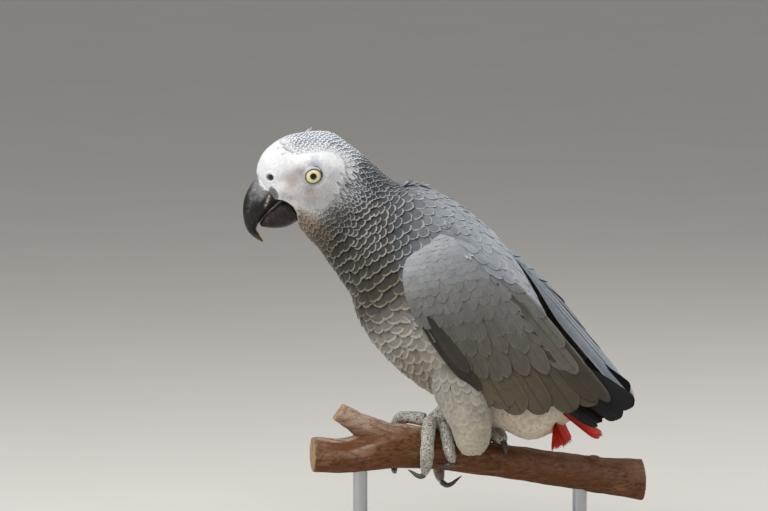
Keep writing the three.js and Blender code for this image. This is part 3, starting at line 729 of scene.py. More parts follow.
def face_relief(flat):
    """Height in mm of the face's folds over its smooth form.

    Sum of round hollows, a lid with two creases round the eye, small wrinkles that run round the eye, a rim
    round the nostril with its hole, and fine pebbling.
    """
    height = np.zeros(flat.shape[:-1])
    for x, z, reach, rise in FACE_FORMS:
        height += rise * np.exp(-((flat[..., 0] - x) ** 2 + (flat[..., 2] - z) ** 2) / reach**2)
    ring, way = eye_distance(flat)
    waver = noise(flat, 3.2, 3) * 0.35
    height -= 0.55 * (1 - smooth(4.6, 8.0, ring))
    for crease, deep in ((6.3, 0.22), (7.7, 0.22), (9.2, 0.18), (10.9, 0.12)):
        height -= deep * bell(ring - crease + waver, 0.36)
    height += 0.08 * np.sin(way * 34 + 2 * waver) * bell(ring - 6.0, 1.0)
    off = np.hypot(flat[..., 0] - EYE["x"], flat[..., 2] - EYE["z"])
    ball = EYE["side"] + np.sqrt(np.maximum(EYE["radius"] ** 2 - off**2, 0)) - np.abs(flat[..., 1])
    hug = 1 - smooth(4.8, 7.4, ring)
    height = height * (1 - hug) + np.maximum(height, ball + 0.32) * hug
    height -= 4.5 * (1 - smooth(EYE["opening"] - 0.7, EYE["opening"] - 0.1, ring))
    away = np.hypot(flat[..., 0] - NOSTRIL["x"], flat[..., 2] - NOSTRIL["z"])
    height += 0.3 * bell(away - NOSTRIL["radius"] - 0.7, 0.6)
    height -= 3.5 * (1 - smooth(NOSTRIL["radius"] - 0.7, NOSTRIL["radius"] + 0.1, away))
    height += 0.10 * np.abs(noise(flat, 1.3, 5, 2)) + 0.10 * noise(flat, 4.0, 9)
    return height


# The browns at the lores, under the eye and by the mouth are the skin's own. The whites over the brow are
# painted highlight, and the bluish grey over the eye and the greys in front of the eye, behind it and low on
# the face are painted shade.
FACE_TINTS_AND_PAINTED_LIGHT = [
    [(-99, 17, 222.5), 7.0, "#ffffff", 0.9], [(-83, 19, 221), 5.0, "#fafbfd", 0.7],
    [(-92, 18, 199), 9.0, "#8d8e8d", 0.9], [(-104.0, 15, 211.4), 5.6, "#6a4833", 0.9],
    [(-95, 19, 206.8), 6.0, "#583d2c", 0.85], [(-86, 19, 208), 5.5, "#8b8580", 0.8],
    [(-81, 19, 213), 6.5, "#8f9094", 0.85], [(-92.0, 18, 220.6), 4.4, "#a3b0c8", 0.85],
    [(-107.5, 13, 203), 4.0, "#927e70", 0.85], [(-99.5, 17, 216.5), 3.5, "#85787a", 0.85],
    [(-102, 17, 203), 4.0, "#8f8b87", 0.7], [(-83, 19, 202), 6.5, "#858686", 0.85],
]  # place, reach, colour and strength of each tint, painted shade and painted highlight on the white skin


def corner_lobe(flat):
    """The brown lobe at the corner of the mouth, and the dark line round it, as shares at places."""
    across, up = flat[..., 0] + 114.5, flat[..., 2] - 204.0
    away = np.hypot((across * 0.93 + up * 0.37) / 2.4, (up * 0.93 - across * 0.37) / 4.1)
    line = 0.9 * (1 - smooth(1.05, 1.3, away)) * smooth(1.2, -1.0, across + up * 0.3)
    return 1 - smooth(0.8, 1.0, away), line


def skin_colour(flat, bare):
    """White skin where bare, with its own tints, painted shade and painted highlight, and the plumage's own
    colour under feathers.

    The bare skin is dark at the lid's rim and at the corner of the mouth; the nostril's hole is painted dark
    as its shade, and a bluish ring of painted shade lies just outside the lids.
    """
    colour = np.tile(linear("#eceef1"), (len(flat), 1))
    mirrored = np.column_stack([flat[:, 0], np.abs(flat[:, 1]), flat[:, 2]])
    for place, reach, tone, strength in FACE_TINTS_AND_PAINTED_LIGHT:
        colour = blend(colour, (strength * np.exp(-((mirrored - place) ** 2).sum(1) / reach**2), tone))
    past_lid = eye_distance(flat)[0] - EYE["opening"]
    # Painted shade: a bluish grey ring in the crease just outside the lids. The dark rim at the lids' edge is
    # the skin's own.
    painted_fold_shade, rim = 0.5 * bell(past_lid - 1.3, 1.0), 0.6 * bell(past_lid - 0.2, 0.55)
    # Painted shade: the nostril's hole is painted nearly black, as the shade inside it.
    hole = np.hypot(flat[:, 0] - NOSTRIL["x"], flat[:, 2] - NOSTRIL["z"])
    dark = 1 - smooth(NOSTRIL["radius"] - 0.35, NOSTRIL["radius"] + 0.25, hole)
    lobe, line = corner_lobe(flat)
    colour = blend(
        colour, (painted_fold_shade, "#8d93a2"), (rim, "#5a4f48"), (dark, "#1d1213"), (line, "#17110e"), (lobe, "#1b110b"))
    coat = plumage(flat)
    under = 0.55 * coat["middle"] + 0.45 * coat["edge"]
    return bare[:, None] * colour + (1 - bare[:, None]) * under


def spread(low, high, fine_low, fine_high, coarse, fine):
    """Values from low to high, `coarse` apart, but `fine` apart between fine_low and fine_high."""
    found = [low]
    while found[-1] < high:
        inside = fine_low <= found[-1] < fine_high
        found.append(found[-1] + (fine if inside else coarse))
    return np.array(found[:-1] + [high])


# %% The skin of head and body
SKIN_STATIONS = spread(0.25, BODY_END - 0.15, 0.2, 8.0, 0.17, 0.056)
half_round = spread(0.0, math.pi, math.radians(38), math.radians(118), 0.085, 0.0145)
SKIN_ANGLES = np.concatenate([half_round, 2 * math.pi - half_round[-2:0:-1]])
stations, angles = np.meshgrid(SKIN_STATIONS, SKIN_ANGLES, indexing="ij")
flat, _ = body_flat(stations, angles)
beyond = past(FACE, flat).reshape(stations.shape)
bareness = 1 - smooth(-0.6, 3.2, beyond)
coat_depth = plumage(flat)["depth"].reshape(stations.shape) * (0.1 + 0.9 * smooth(0, 6, beyond))
lift = bareness * (face_relief(flat) - 0.1) - (1 - bareness) * (coat_depth + 0.12)
lift -= 1.2 * (1 - smooth(0.2, 0.9, stations))  # tucked behind the bill
lift -= 7.0 * (1 - smooth(-3.1, -0.2, past(MOUTH, flat).reshape(stations.shape)))  # and round the mouth
surface, normal = BODY_LAY.out(stations, angles)
skin_grid = surface + normal * lift[..., None]

f = Recipe(
    "skin_finish", Specular_IOR_Level=0.35, Subsurface_Weight=0.12, Subsurface_Scale=1.0,
    Subsurface_Radius=(0.0015, 0.0007, 0.0005))
tone = f.read("tone", "Color")
mottle = f.range(f.noise(2.2, 5), 0.35, 0.7)
tone = f.mix(mottle, f.mix(0.3, tone, grey("#b4b0b3"), "MULTIPLY"), tone)
cells = f.add("TexVoronoi", {"Scale": 1 / (0.55 * MM), "Vector": f.place()})
pores = f.range(cells.outputs["Distance"], 0.05, 0.6)
tone = f.mix(pores, tone, f.mix(0.22, tone, grey("#fbfaf8")))
f.bump(f.plus(pores, f.noise(0.9, 4)), 0.35, 0.25)
skin_look = f.done(tone, f.range(f.noise(1.6), 0.2, 0.8, 0.5, 0.72))

skin = lofted("skin", skin_grid, "skin", skin_look)

# %% Wing arms and thighs joined to the skin
ARM_COAT = 2.4  # how deep the wing's arm lies under its coverts
THIGH = [
    [-7, 21, 113, 13, 8.6], [-5, 23.6, 98, 16.6, 11.8], [-2, 25, 86, 14.5, 11.5],
    [1, 25.2, 76, 11.5, 10.4], [1.8, 25.4, 67, 9.2, 8.8], [1.4, 25.2, 61.6, 5.6, 5.6],
]  # middle x, y, z, half length along x, half width


def thigh(side, at, angle):
    """A point of the feathered thigh: an oval about its middle, `at` stations down towards the foot."""
    at = np.where(at > 5, 5 + (at - 5) * 0.3, at)
    x, y, z, long, wide = np.moveaxis(row(THIGH, at), -1, 0)
    return np.stack([x + long * np.cos(angle), side * (y + wide * np.sin(angle)), z + 0 * angle], -1)


def arm_rings(side):
    """Closed rings of the wing's arm: out along the face of the wing, and back up to 9 mm deeper."""
    along = np.linspace(0.04, 0.60, 30)[:, None]
    across = np.linspace(0.10, 0.88, 22)
    lay = WING_LAYS["left" if side < 0 else "right"]
    place, out = lay.out(*np.broadcast_arrays(along, across))
    outer = place - out * ARM_COAT
    inner = place - out * (ARM_COAT + 1.0 + 8.0 * (4 * across * (1 - across))[:, None] ** 0.5)
    return np.concatenate([outer, inner[:, ::-1]], 1)


def thigh_rings(side):
    """Rings of the thigh's skin, inside the tips of its feathers."""
    at = np.linspace(0, 4.6, 26)[:, None]
    angle = np.linspace(0, 2 * math.pi, 33)[:-1]
    outer = thigh(side, *np.broadcast_arrays(at, angle))
    middle = outer.mean(1, keepdims=True)
    return middle + (outer - middle) * 0.86


def joined(piece, others):
    """Joins closed pieces into one by an exact boolean, which leaves one surface and no inner walls."""
    for other in others:
        cut = piece.modifiers.new("join", "BOOLEAN")
        cut.operation = "UNION"
        cut.solver = "EXACT"
        cut.object = other
        applied(piece)
        bpy.data.objects.remove(other)


extras = []
known_places = [skin_grid.reshape(-1, 3)]
known_colours = [skin_colour(flat.reshape(-1, 3), bareness.ravel())]
for word, side in SIDES.items():
    for part, rings, tone in (("arm", arm_rings(side), "#8d9094"), ("thigh", thigh_rings(side), "#beb5a7")):
        extras.append(lofted(f"{part}_{word}", rings, "skin", skin_look))
        known_places.append(rings.reshape(-1, 3))
        known_colours.append(np.tile(linear(tone), (len(known_places[-1]), 1)))
joined(skin, extras)
# The join makes new points, so each takes the colour of the nearest point that had one.
tree = tree_of(np.concatenate(known_places))
nearest = [tree.find(point)[1] for point in points_of(skin)[0]]
paint(skin, "tone", np.concatenate(known_colours)[nearest])
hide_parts("cere", "head", "neck", "breast", "trunk", "rump", "thigh_left", "thigh_right",
            "wing_left_coverts", "wing_right_coverts")
print("skin:", len(skin.data.vertices), "points")

# %% [markdown]
# ## The feather
#
# A contour feather is a thin curved vane on a shaft: narrow at its root, widest past the middle, round at the
# tip. Hair strands with a feather texture would look right from one side only, and would not export. So each
# feather is a closed mesh, a pillow less than half a millimetre thick that follows the surface it lies on.
# All the feathers of a region are worked out together as one big array, and differ by their own numbers only.

# %% Laying many feathers at once
PATCH = 0.003  # how wide each feather's patch is on its region's unwrapped map


def pillow_faces(cells_across, cells_along):
    """Faces of one closed pillow: a grid on top, and below it a grid that shares the top one's border."""
    rows, cols = cells_along + 1, cells_across + 1
    top = np.arange(rows * cols).reshape(rows, cols)
    under = top.copy()
    under[1:-1, 1:-1] = rows * cols + np.arange((rows - 2) * (cols - 2)).reshape(rows - 2, cols - 2)

    def quads(g):
        return np.stack([g[:-1, :-1], g[:-1, 1:], g[1:, 1:], g[1:, :-1]], -1).reshape(-1, 4)

    return np.concatenate([quads(top), quads(under)[:, ::-1]])


def outline(v, root, tip):
    """Half width of vanes along their length, as shares of the greatest, a row for each vane.

    It swells by 3t^2 - 2t^3 over the first 45%, and past 1 - tip closes nearly as a quarter of an ellipse.
    """
    swell = root + (1 - root) * smooth(0, 0.45, v)
    x = np.clip((v - (1 - tip[:, None])) / tip[:, None], 0, 1)
    return swell * np.maximum(np.sqrt(np.maximum(1 - x**2.2, 0)), 0.16)


def feathers(
        name, lay, a, b, slot, finish, *, length, width, depth, middle, edge, patch_at, lift=0.0, curl=0.0,
        swing=0.0, bend=0.0, roll=0.0, camber=0.25, thick=0.2, root=0.45, tip=0.5, rim=0.7, shaft=0.0,
        ragged=0.03, cells=(4, 7), relief=1.0, replaces=()):
    """A piece made of many feathers, whose roots are at a, b on a surface.

    Each vane starts `depth` under the surface and rises to `lift` at its tip, plus `curl` that grows with the
    cube of the way along. It runs towards the tail, turned by `swing` and more by `bend` along its way.
    """
    count = len(a)
    every = np.ones(count)
    length, width, depth, lift, curl = (every * x for x in (length, width, depth, lift, curl))
    swing, bend, roll, camber = (every * x for x in (swing, bend, roll, camber))
    tip, thick = every * tip, every * thick
    across_cells, along_cells = cells
    u = np.linspace(-1, 1, across_cells + 1)
    v = 1 - (1 - np.linspace(0, 1, along_cells + 1)) ** 1.25
    half = outline(v, root, tip) * width[:, None]
    way = swing[:, None] + bend[:, None] * v
    spine_a, spine_b, per_a, skew, per_b = [a], [b], [], [], []
    for k in range(along_cells + 1):  # walk along all shafts together, one row of cells at a time
        da, slant, db = lay.steps(spine_a[k], spine_b[k])
        per_a.append(da)
        skew.append(slant)
        per_b.append(db)
        if k < along_cells:
            forward = length * (v[k + 1] - v[k])
            move_b = forward * np.sin(way[:, k]) * db
            spine_b.append(spine_b[k] + move_b)
            spine_a.append(spine_a[k] + forward * np.cos(way[:, k]) * da - slant * move_b)
    walked = (spine_a, spine_b, per_a, skew, per_b)
    spine_a, spine_b, per_a, skew, per_b = (np.stack(x, 1)[..., None] for x in walked)
    split = rng.normal(0, ragged, (count, 1, len(u))) * (v[:, None] ** 4) * length[:, None, None]
    side = half[..., None] * u * (1 + rng.normal(0, ragged, (count, len(v), 1)))
    turn = way[..., None]
    sideways = side * np.cos(turn) + split * np.sin(turn)
    forward = split * np.cos(turn) - side * np.sin(turn)
    move_b = sideways * per_b
    at_a = spine_a + forward * per_a - skew * move_b
    at_b = spine_b + move_b
    place, normal = lay.out(at_a, at_b)
    rise = (-depth[:, None] * (1 - v) + lift[:, None] * v + curl[:, None] * v**3)[..., None]
    shape = (half / width[:, None])[..., None]
    rise = rise + (roll[:, None, None] * u - camber[:, None, None] * u**2) * shape
    bulk = np.sqrt(np.maximum(1 - u**2, 0)) * np.minimum(1, 4 * (1 - v) * v + 0.3)[:, None]
    bulk = bulk * thick[:, None, None] / 2
    top = place + normal * (rise + bulk)[..., None]
    under = (place + normal * (rise - bulk)[..., None])[:, 1:-1, 1:-1]
    points = np.concatenate([top.reshape(count, -1, 3), under.reshape(count, -1, 3)], 1)
    each = points.shape[1]
    one = pillow_faces(across_cells, along_cells)
    # A pillow whose first face looks inward is turned round, and all of a piece's pillows agree.
    first = top[:, 1:3, 1:3].reshape(count, 4, 3)
    looks = np.cross(first[:, 1] - first[:, 0], first[:, 2] - first[:, 0])
    if (looks * normal[:, 1, 1]).sum() < 0:
        one = one[:, ::-1]
    faces = (one[None] + each * np.arange(count)[:, None, None]).reshape(-1, 4)
    piece = mesh_piece(name, points.reshape(-1, 3), [faces], slot, finish, replaces)
    grid = np.stack(np.meshgrid((u + 1) / 2, v), -1)
    vane = np.concatenate([grid.reshape(-1, 2), grid[1:-1, 1:-1].reshape(-1, 2)])
    loop_point = np.tile(one.ravel(), count)
    mesh = piece.data
    bake = mesh.uv_layers.new(name="OFBake")
    home = np.repeat(np.asarray(patch_at), one.size, 0)
    bake.data.foreach_set("uv", (home + (vane[loop_point] - 0.5) * PATCH).astype(np.float32).ravel())
    chart = mesh.uv_layers.new(name="Vane")
    chart.data.foreach_set("uv", vane[loop_point].astype(np.float32).ravel())
    for field, value in (("middle", middle), ("edge", edge)):
        paint(piece, field, np.repeat(np.broadcast_to(value, (count, 3)), each, 0))
    chance = rng.uniform(0, 1, count)
    single = {"rim": rim, "shaft": shaft, "chance": chance, "end": tip, "relief": relief}
    for field, value in single.items():
        paint(piece, field, np.repeat(every * value, each))
    # The rim of a vane is a sharp edge, so its top and underside are shaded apart, as on a thin sheet.
    ends = np.empty(2 * len(mesh.edges), np.int32)
    mesh.edges.foreach_get("vertices", ends)
    at_rim = np.ones((along_cells + 1, across_cells + 1), bool)
    at_rim[1:-1, 1:-1] = False
    at_rim = np.concatenate([at_rim.ravel(), np.zeros(each - at_rim.size, bool)])
    sharp = mesh.attributes.new("sharp_edge", "BOOLEAN", "EDGE")
    sharp.data.foreach_set("value", at_rim[ends.reshape(-1, 2) % each].all(1))
    return piece


def vane_finish(name, barbs=26.0, gloss=0.72, sheen=0.25, soft=0.09, fringe=0.22, painted_edge_shade=0.0):
    """The finish of a vane: dark middle, pale rim, fine barbs that slant from the shaft, and the shaft."""
    f = Recipe(name, Specular_IOR_Level=0.3, Sheen_Weight=sheen, Sheen_Roughness=0.45)
    split = f.add("SeparateXYZ", {"Vector": f.add("UVMap", uv_map="Vane")})
    u, v = split.outputs[0], split.outputs[1]
    off = f.math("ABSOLUTE", f.times(f.minus(u, 0.5), 2.0))
    # How near the edge: off squared, plus past squared times what off leaves, past being 0 to 1 over the tip.
    end = f.read("end")
    past = f.math("MAXIMUM", f.math("DIVIDE", f.minus(f.plus(v, end), 1.0), end), 0.0)
    off_squared = f.math("POWER", off, 2.0)
    left_over = f.times(f.math("POWER", past, 2.0), f.minus(1.0, off_squared))
    far = f.math("SQRT", f.plus(off_squared, left_over))
    fray = f.times(f.minus(f.noise(0.5, 2), 0.5), fringe)
    far = f.plus(far, fray)
    rim = f.read("rim")
    share = f.range(f.minus(far, rim), -soft, soft)
    share = f.times(share, f.range(v, 0.4, 0.8, 0.25, 1.0))
    colour = f.mix(share, f.read("middle", "Color"), f.read("edge", "Color"))
    chance = f.read("chance")
    colour = f.mix(f.range(chance, 0, 1, 0.0, 0.22), colour, grey("#8c8a88"), "SOFT_LIGHT")
    # Barbs: stripes across v that lean with the distance from the shaft, broken up by noise.
    slant = f.minus(v, f.times(off, 0.28))
    lines = f.add("CombineXYZ", {0: f.times(slant, barbs), 1: f.times(off, 1.3), 2: chance})
    streak = f.add("TexNoise", {"Vector": lines, "Scale": 1.6, "Detail": 3.0})
    relief = f.read("relief")
    strong = f.times(f.range(streak, 0.66, 0.36, 0.0, 0.3), f.plus(f.times(relief, 0.5), 0.5))
    colour = f.mix(strong, colour, grey("#8a8783"), "MULTIPLY")
    tone = f.range(f.noise(6.0, 4), 0.3, 0.7, 0.0, 0.24)
    colour = f.mix(tone, colour, grey("#9a9894"), "MULTIPLY")
    # Painted shade: a thin dark line just inside the rim, as the shadow in the gap between neighbouring
    # feathers.
    line = f.times(f.range(far, 0.93, 1.0, 0.0, 0.55), f.times(painted_edge_shade, relief))
    colour = f.mix(line, colour, grey("#4d4a47"), "MULTIPLY")
    thin = f.range(off, 0.075, 0.02)
    mark = f.times(thin, f.read("shaft"))
    colour = f.mix(mark, colour, grey("#2a2725"))
    # Painted shade: the root end, hidden under the feathers before it, is darkened as their shade, which the
    # soft light alone would not show.
    painted_root_shade = f.times(f.range(v, 0.62, 0.15, 0.0, 0.5), relief)
    colour = f.mix(painted_root_shade, colour, grey("#6d6a68"), "MULTIPLY")
    f.bump(f.plus(f.times(streak, 0.8), thin), 0.5, 0.12)
    return f.done(colour, f.range(f.noise(1.2), 0.2, 0.8, gloss - 0.08, gloss + 0.08))


soft_vane = vane_finish("soft_vane")
wing_vane = vane_finish("wing_vane", barbs=60.0, gloss=0.6, sheen=0.15, soft=0.1, fringe=0.14, painted_edge_shade=0.75)
print("one small vane has", 2 * len(pillow_faces(4, 7)), "triangles")

# %% [markdown]
# ## Feathers over head and body
#
# Feathers grow so that each covers the gap between two of the row before, like tiles. A bricklayer's rule
# does the same here, from the bill to the tail: the next feather goes where the coat so far reaches least far
# back, which is always the valley between two neighbours. Each feather then pushes the coat's edge back round
# its own place, by an arc as wide and long as the local spacing. So tiles stay small round the face and grow
# larger on the breast without a seam.

# %% Roots of the body's feathers


def body_roots():
    """Section numbers and angles of all roots.

    `edge` is how far back the coat reaches at each angle. A feather at `at` moves it, at distances `off`
    to its side, to at + row / 0.866 * sqrt(1 - (off / wide)^2), so neighbours half a width away are a row on.
    """
    last = BODY_END - 0.6
    s = np.linspace(0.5, last + 0.1, 300)
    angle = np.linspace(-math.pi, math.pi, 601)[:-1]
    grid_s, grid_angle = np.meshgrid(s, angle, indexing="ij")
    surface = body(grid_s, grid_angle)
    fields = plumage(body_flat(grid_s, grid_angle)[0])
    rows, widths = (fields[k].reshape(grid_s.shape) for k in ("row", "wide"))
    speed = np.linalg.norm(np.gradient(surface, axis=0), axis=-1) / (s[1] - s[0])
    gaps = np.linalg.norm(np.roll(surface, -1, 1) - surface, axis=-1)
    walked = np.cumsum(gaps, 1)
    edge = 0.5 + 0.02 * rng.random(len(angle))
    found = []
    while edge.min() < last:
        column = int(np.argmin(edge))
        at = edge[column]
        line = int((at - s[0]) / (s[1] - s[0]))
        found.append((at, angle[column]))
        off = np.abs(walked[line] - walked[line, column])
        off = np.minimum(off, walked[line, -1] - off) / widths[line, column]
        there = off < 1
        push = rows[line, column] / 0.866 * np.sqrt(1 - off[there] ** 2) / speed[line, there]
        edge[there] = np.maximum(edge[there], at + push * rng.uniform(0.94, 1.06))
    found_s, found_angle = np.array(found).T
    return found_s, found_angle


def under_wing(place):
    """Whether a place lies well inside the footprint of a folded wing, where no feather would be seen."""
    hidden = np.zeros(len(place), bool)
    for side in SIDES.values():
        p, q = np.meshgrid(np.linspace(0.1, 0.93, 40), np.linspace(0.14, 0.82, 40), indexing="ij")
        face = wing(side, p, q).reshape(-1, 3)
        tree = tree_of(face * [1, 0, 1])
        near = np.array([tree.find((x, 0.0, z))[2] for x, _, z in place])
        hidden |= (near < 2.2) & (place[:, 1] * side > 10)
    return hidden


root_s, root_angle = body_roots()
root_flat, _ = body_flat(root_s, root_angle)
root_past = past(FACE, root_flat)
root_place = body(root_s, root_angle)
low_cheek = 1 - smooth(199, 213, root_flat[:, 2])
kept = (root_past > -0.4 - 1.4 * low_cheek + rng.normal(0, 1.3, len(root_s))) & ~under_wing(root_place)
kept &= root_s > 1.3
kept &= past(MOUTH, root_flat) > 0.2
root_s, root_angle, root_flat, root_past = (x[kept] for x in (root_s, root_angle, root_flat, root_past))
coat = plumage(root_flat)
print("body feathers:", len(root_s))

# %% Feathers of head, neck, breast, back and belly
soft_reach = 1.3 + 5.1 * smooth(211, 224, root_flat[:, 2])
near_face = 1 - smooth(-1.0, soft_reach, root_past)  # pale and fine beside the bare face
ear = np.exp(-((root_flat[:, 0] + 76) ** 2 + (root_flat[:, 2] - 211) ** 2) / 7.5**2) * (root_flat[:, 1] != 0)
COATS = {  # which roots: section numbers, slot and cells
    "crown_feathers": [1.0, 7.4, "head_feathers", (4, 6)],
    "nape_feathers": [7.4, 9.6, "neck_feathers", (4, 6)],
    "neck_feathers": [9.6, 12.4, "neck_feathers", (6, 8)],
    "breast_feathers": [12.4, 15.6, "body_feathers", (6, 8)],
    "belly_feathers": [15.6, 30.0, "belly_feathers", (6, 8)],
}
count_all = len(root_s)
border_tone = skin_colour(root_flat, np.ones(count_all))
pale = near_face[:, None] ** 0.7
middle_all = coat["middle"] * (1 - pale) + border_tone * pale
edge_all = coat["edge"] * (1 - 0.8 * pale) + np.minimum(border_tone * 1.1, 0.95) * 0.8 * pale
fine = 1 - 0.9 * near_face  # how thick and deep feathers are by the face, as a share of the usual
size_jitter = rng.normal(1, 0.05, count_all)
loose, relief = coat["loose"], coat["relief"]
length_all = coat["row"] * coat["long"] * size_jitter
half_all = coat["wide"] * (0.58 - 0.14 * ear) * size_jitter
swing_all = rng.normal(0, 0.10, count_all) * (0.4 + loose)
# On the sides of the breast the feathers turn down from the body's own run, by up to about 30 degrees.
to_breast = ((root_flat[:, 0] + 54) ** 2 + (root_flat[:, 2] - 140) ** 2) / 26**2
swing_all += 0.55 * np.exp(-to_breast) * np.sin(root_angle)
unwrapped = np.column_stack(
    [(root_angle / (2 * math.pi) + 0.5) * 0.94 + 0.03, root_s / BODY_END * 0.94 + 0.03])
for name, (low, high, slot, cells) in COATS.items():
    pick = (root_s >= low) & (root_s < high)
    feathers(
        name, BODY_LAY, root_s[pick], root_angle[pick], slot, soft_vane, patch_at=unwrapped[pick],
        cells=cells, length=length_all[pick], width=half_all[pick],
        depth=(coat["depth"] * (0.80 + 0.15 * relief * rng.normal(0, 1, count_all)) * fine)[pick],
        lift=((0.05 + rng.normal(0, 0.09, count_all) * relief) * fine)[pick],
        curl=(0.3 * rng.normal(0, 1, count_all) * loose * relief)[pick], swing=swing_all[pick],
        bend=rng.normal(0, 0.05, count_all)[pick], camber=(0.09 * coat["wide"] * relief)[pick],
        thick=(0.06 + 0.11 * relief * fine)[pick], middle=middle_all[pick], edge=edge_all[pick],
        rim=coat["rim"][pick], ragged=0.03, root=0.6,
        tip=np.clip(1.15 * half_all / length_all * (1 + 0.3 * loose), 0.25, 0.6)[pick], relief=relief[pick])

# %% [markdown]
# ## The wing's rows
#
# A folded wing shows its coverts in rows like roof tiles, small and smooth on the shoulder and larger below,
# then the tips of the secondaries. Each row is given by where its roots and its tips lie along the wing, so
# the length of every feather comes out of the wing's own shape. Feathers nearer the back lie over those
# nearer the flank, which a small roll of each vane gives.

# %% Colours along the wing
WING_TONES = [  # share of the way along; middle and rim at the flank side, middle and rim at the back side
    (0.00, "#a9aeb4", "#b3b8be", "#a5abb2", "#b0b6bc"),
    (0.30, "#a2a7ab", "#aaafb3", "#999ea4", "#a3a8ae"),
    (0.50, "#868684", "#8f8f8c", "#84868a", "#8d9092"),
    (0.70, "#6b6862", "#76736e", "#726f6b", "#7d7b77"),
    (0.86, "#5d574c", "#6b655a", "#676159", "#726d65"),
    (1.00, "#6b604d", "#786d59", "#514838", "#605745"),
]


def wing_colours(p, q):
    """Middle and rim colours at places of the wing, blended straight between the tones of the table."""
    stops = [t[0] for t in WING_TONES]
    tones = np.array([[linear(c) for c in t[1:]] for t in WING_TONES])
    at = np.stack([[np.interp(p, stops, tones[:, k, c]) for c in range(3)] for k in range(4)])
    share = smooth(0.2, 0.9, np.asarray(q))
    middle = at[0] + (at[2] - at[0]) * share
    edge = at[1] + (at[3] - at[1]) * share
    return middle.T, edge.T


def wing_row(p_root, p_tip, spacing, q_from=-0.05, q_to=0.98, shift=0.0):
    """Roots and lengths of one row: as many feathers as the spacing allows between two shares across."""
    middle_p = (p_root + p_tip) / 2
    chord = np.linalg.norm(wing(1.0, middle_p, 1.0) - wing(1.0, middle_p, 0.0))
    number = max(2, round(chord * (q_to - q_from) / spacing))
    q = q_from + (q_to - q_from) * (np.arange(number) + 0.5 + shift) / number
    q = q + rng.normal(0, 0.08 / number, number)
    p0 = np.full(number, p_root) + rng.normal(0, 0.004, number)
    return p0, q, np.full(number, float(p_tip))


LEAN = -0.20  # how far the feathers of the wing's lower half turn down from the wing's own run
LESSER_TIPS = np.array([0.035, 0.08, 0.125, 0.17, 0.215, 0.26, 0.305, 0.35, 0.395, 0.44])
MEDIAN_TIPS = np.array([0.49, 0.55, 0.61, 0.675, 0.735, 0.79])
ALULA_TONES = [("#2c251d", "#352d24", "#40382f"), ("#3a3127", "#433a30", "#4a4138")]

# %% Coverts, secondaries and alula


def covert_piece(word, name, rows, slot, replaces=(), **look):
    """One piece of several rows of the wing."""
    lay = WING_LAYS[word]
    p0, q, p1 = (np.concatenate(x) for x in zip(*rows))
    path = [lay.point(p0 + (p1 - p0) * t, q) for t in (0, 0.5, 1)]
    length = np.linalg.norm(path[1] - path[0], axis=1) + np.linalg.norm(path[2] - path[1], axis=1)
    length *= rng.normal(1, 0.02, len(q))
    middle, edge = wing_colours(np.clip(p1, 0, 1), q)
    if word == "right":  # painted light: its back edge faces the sky and is painted paler and bluer than the left wing's
        pale = smooth(0.8, 0.95, q)
        middle, edge = blend(middle, (pale, "#878d94")), blend(edge, (pale, "#979da4"))
    patch = np.column_stack([0.05 + 0.88 * (q + 0.1) / 1.2, 0.04 + 0.9 * (p0 + 0.2) / 1.2])
    look = {"middle": middle, "edge": edge, "swing": LEAN * (1 - smooth(0.5, 1.0, q))} | look
    return feathers(
        f"{name}_{word}", lay, p0, q, slot, wing_vane, length=length, patch_at=patch, replaces=replaces,
        **look)


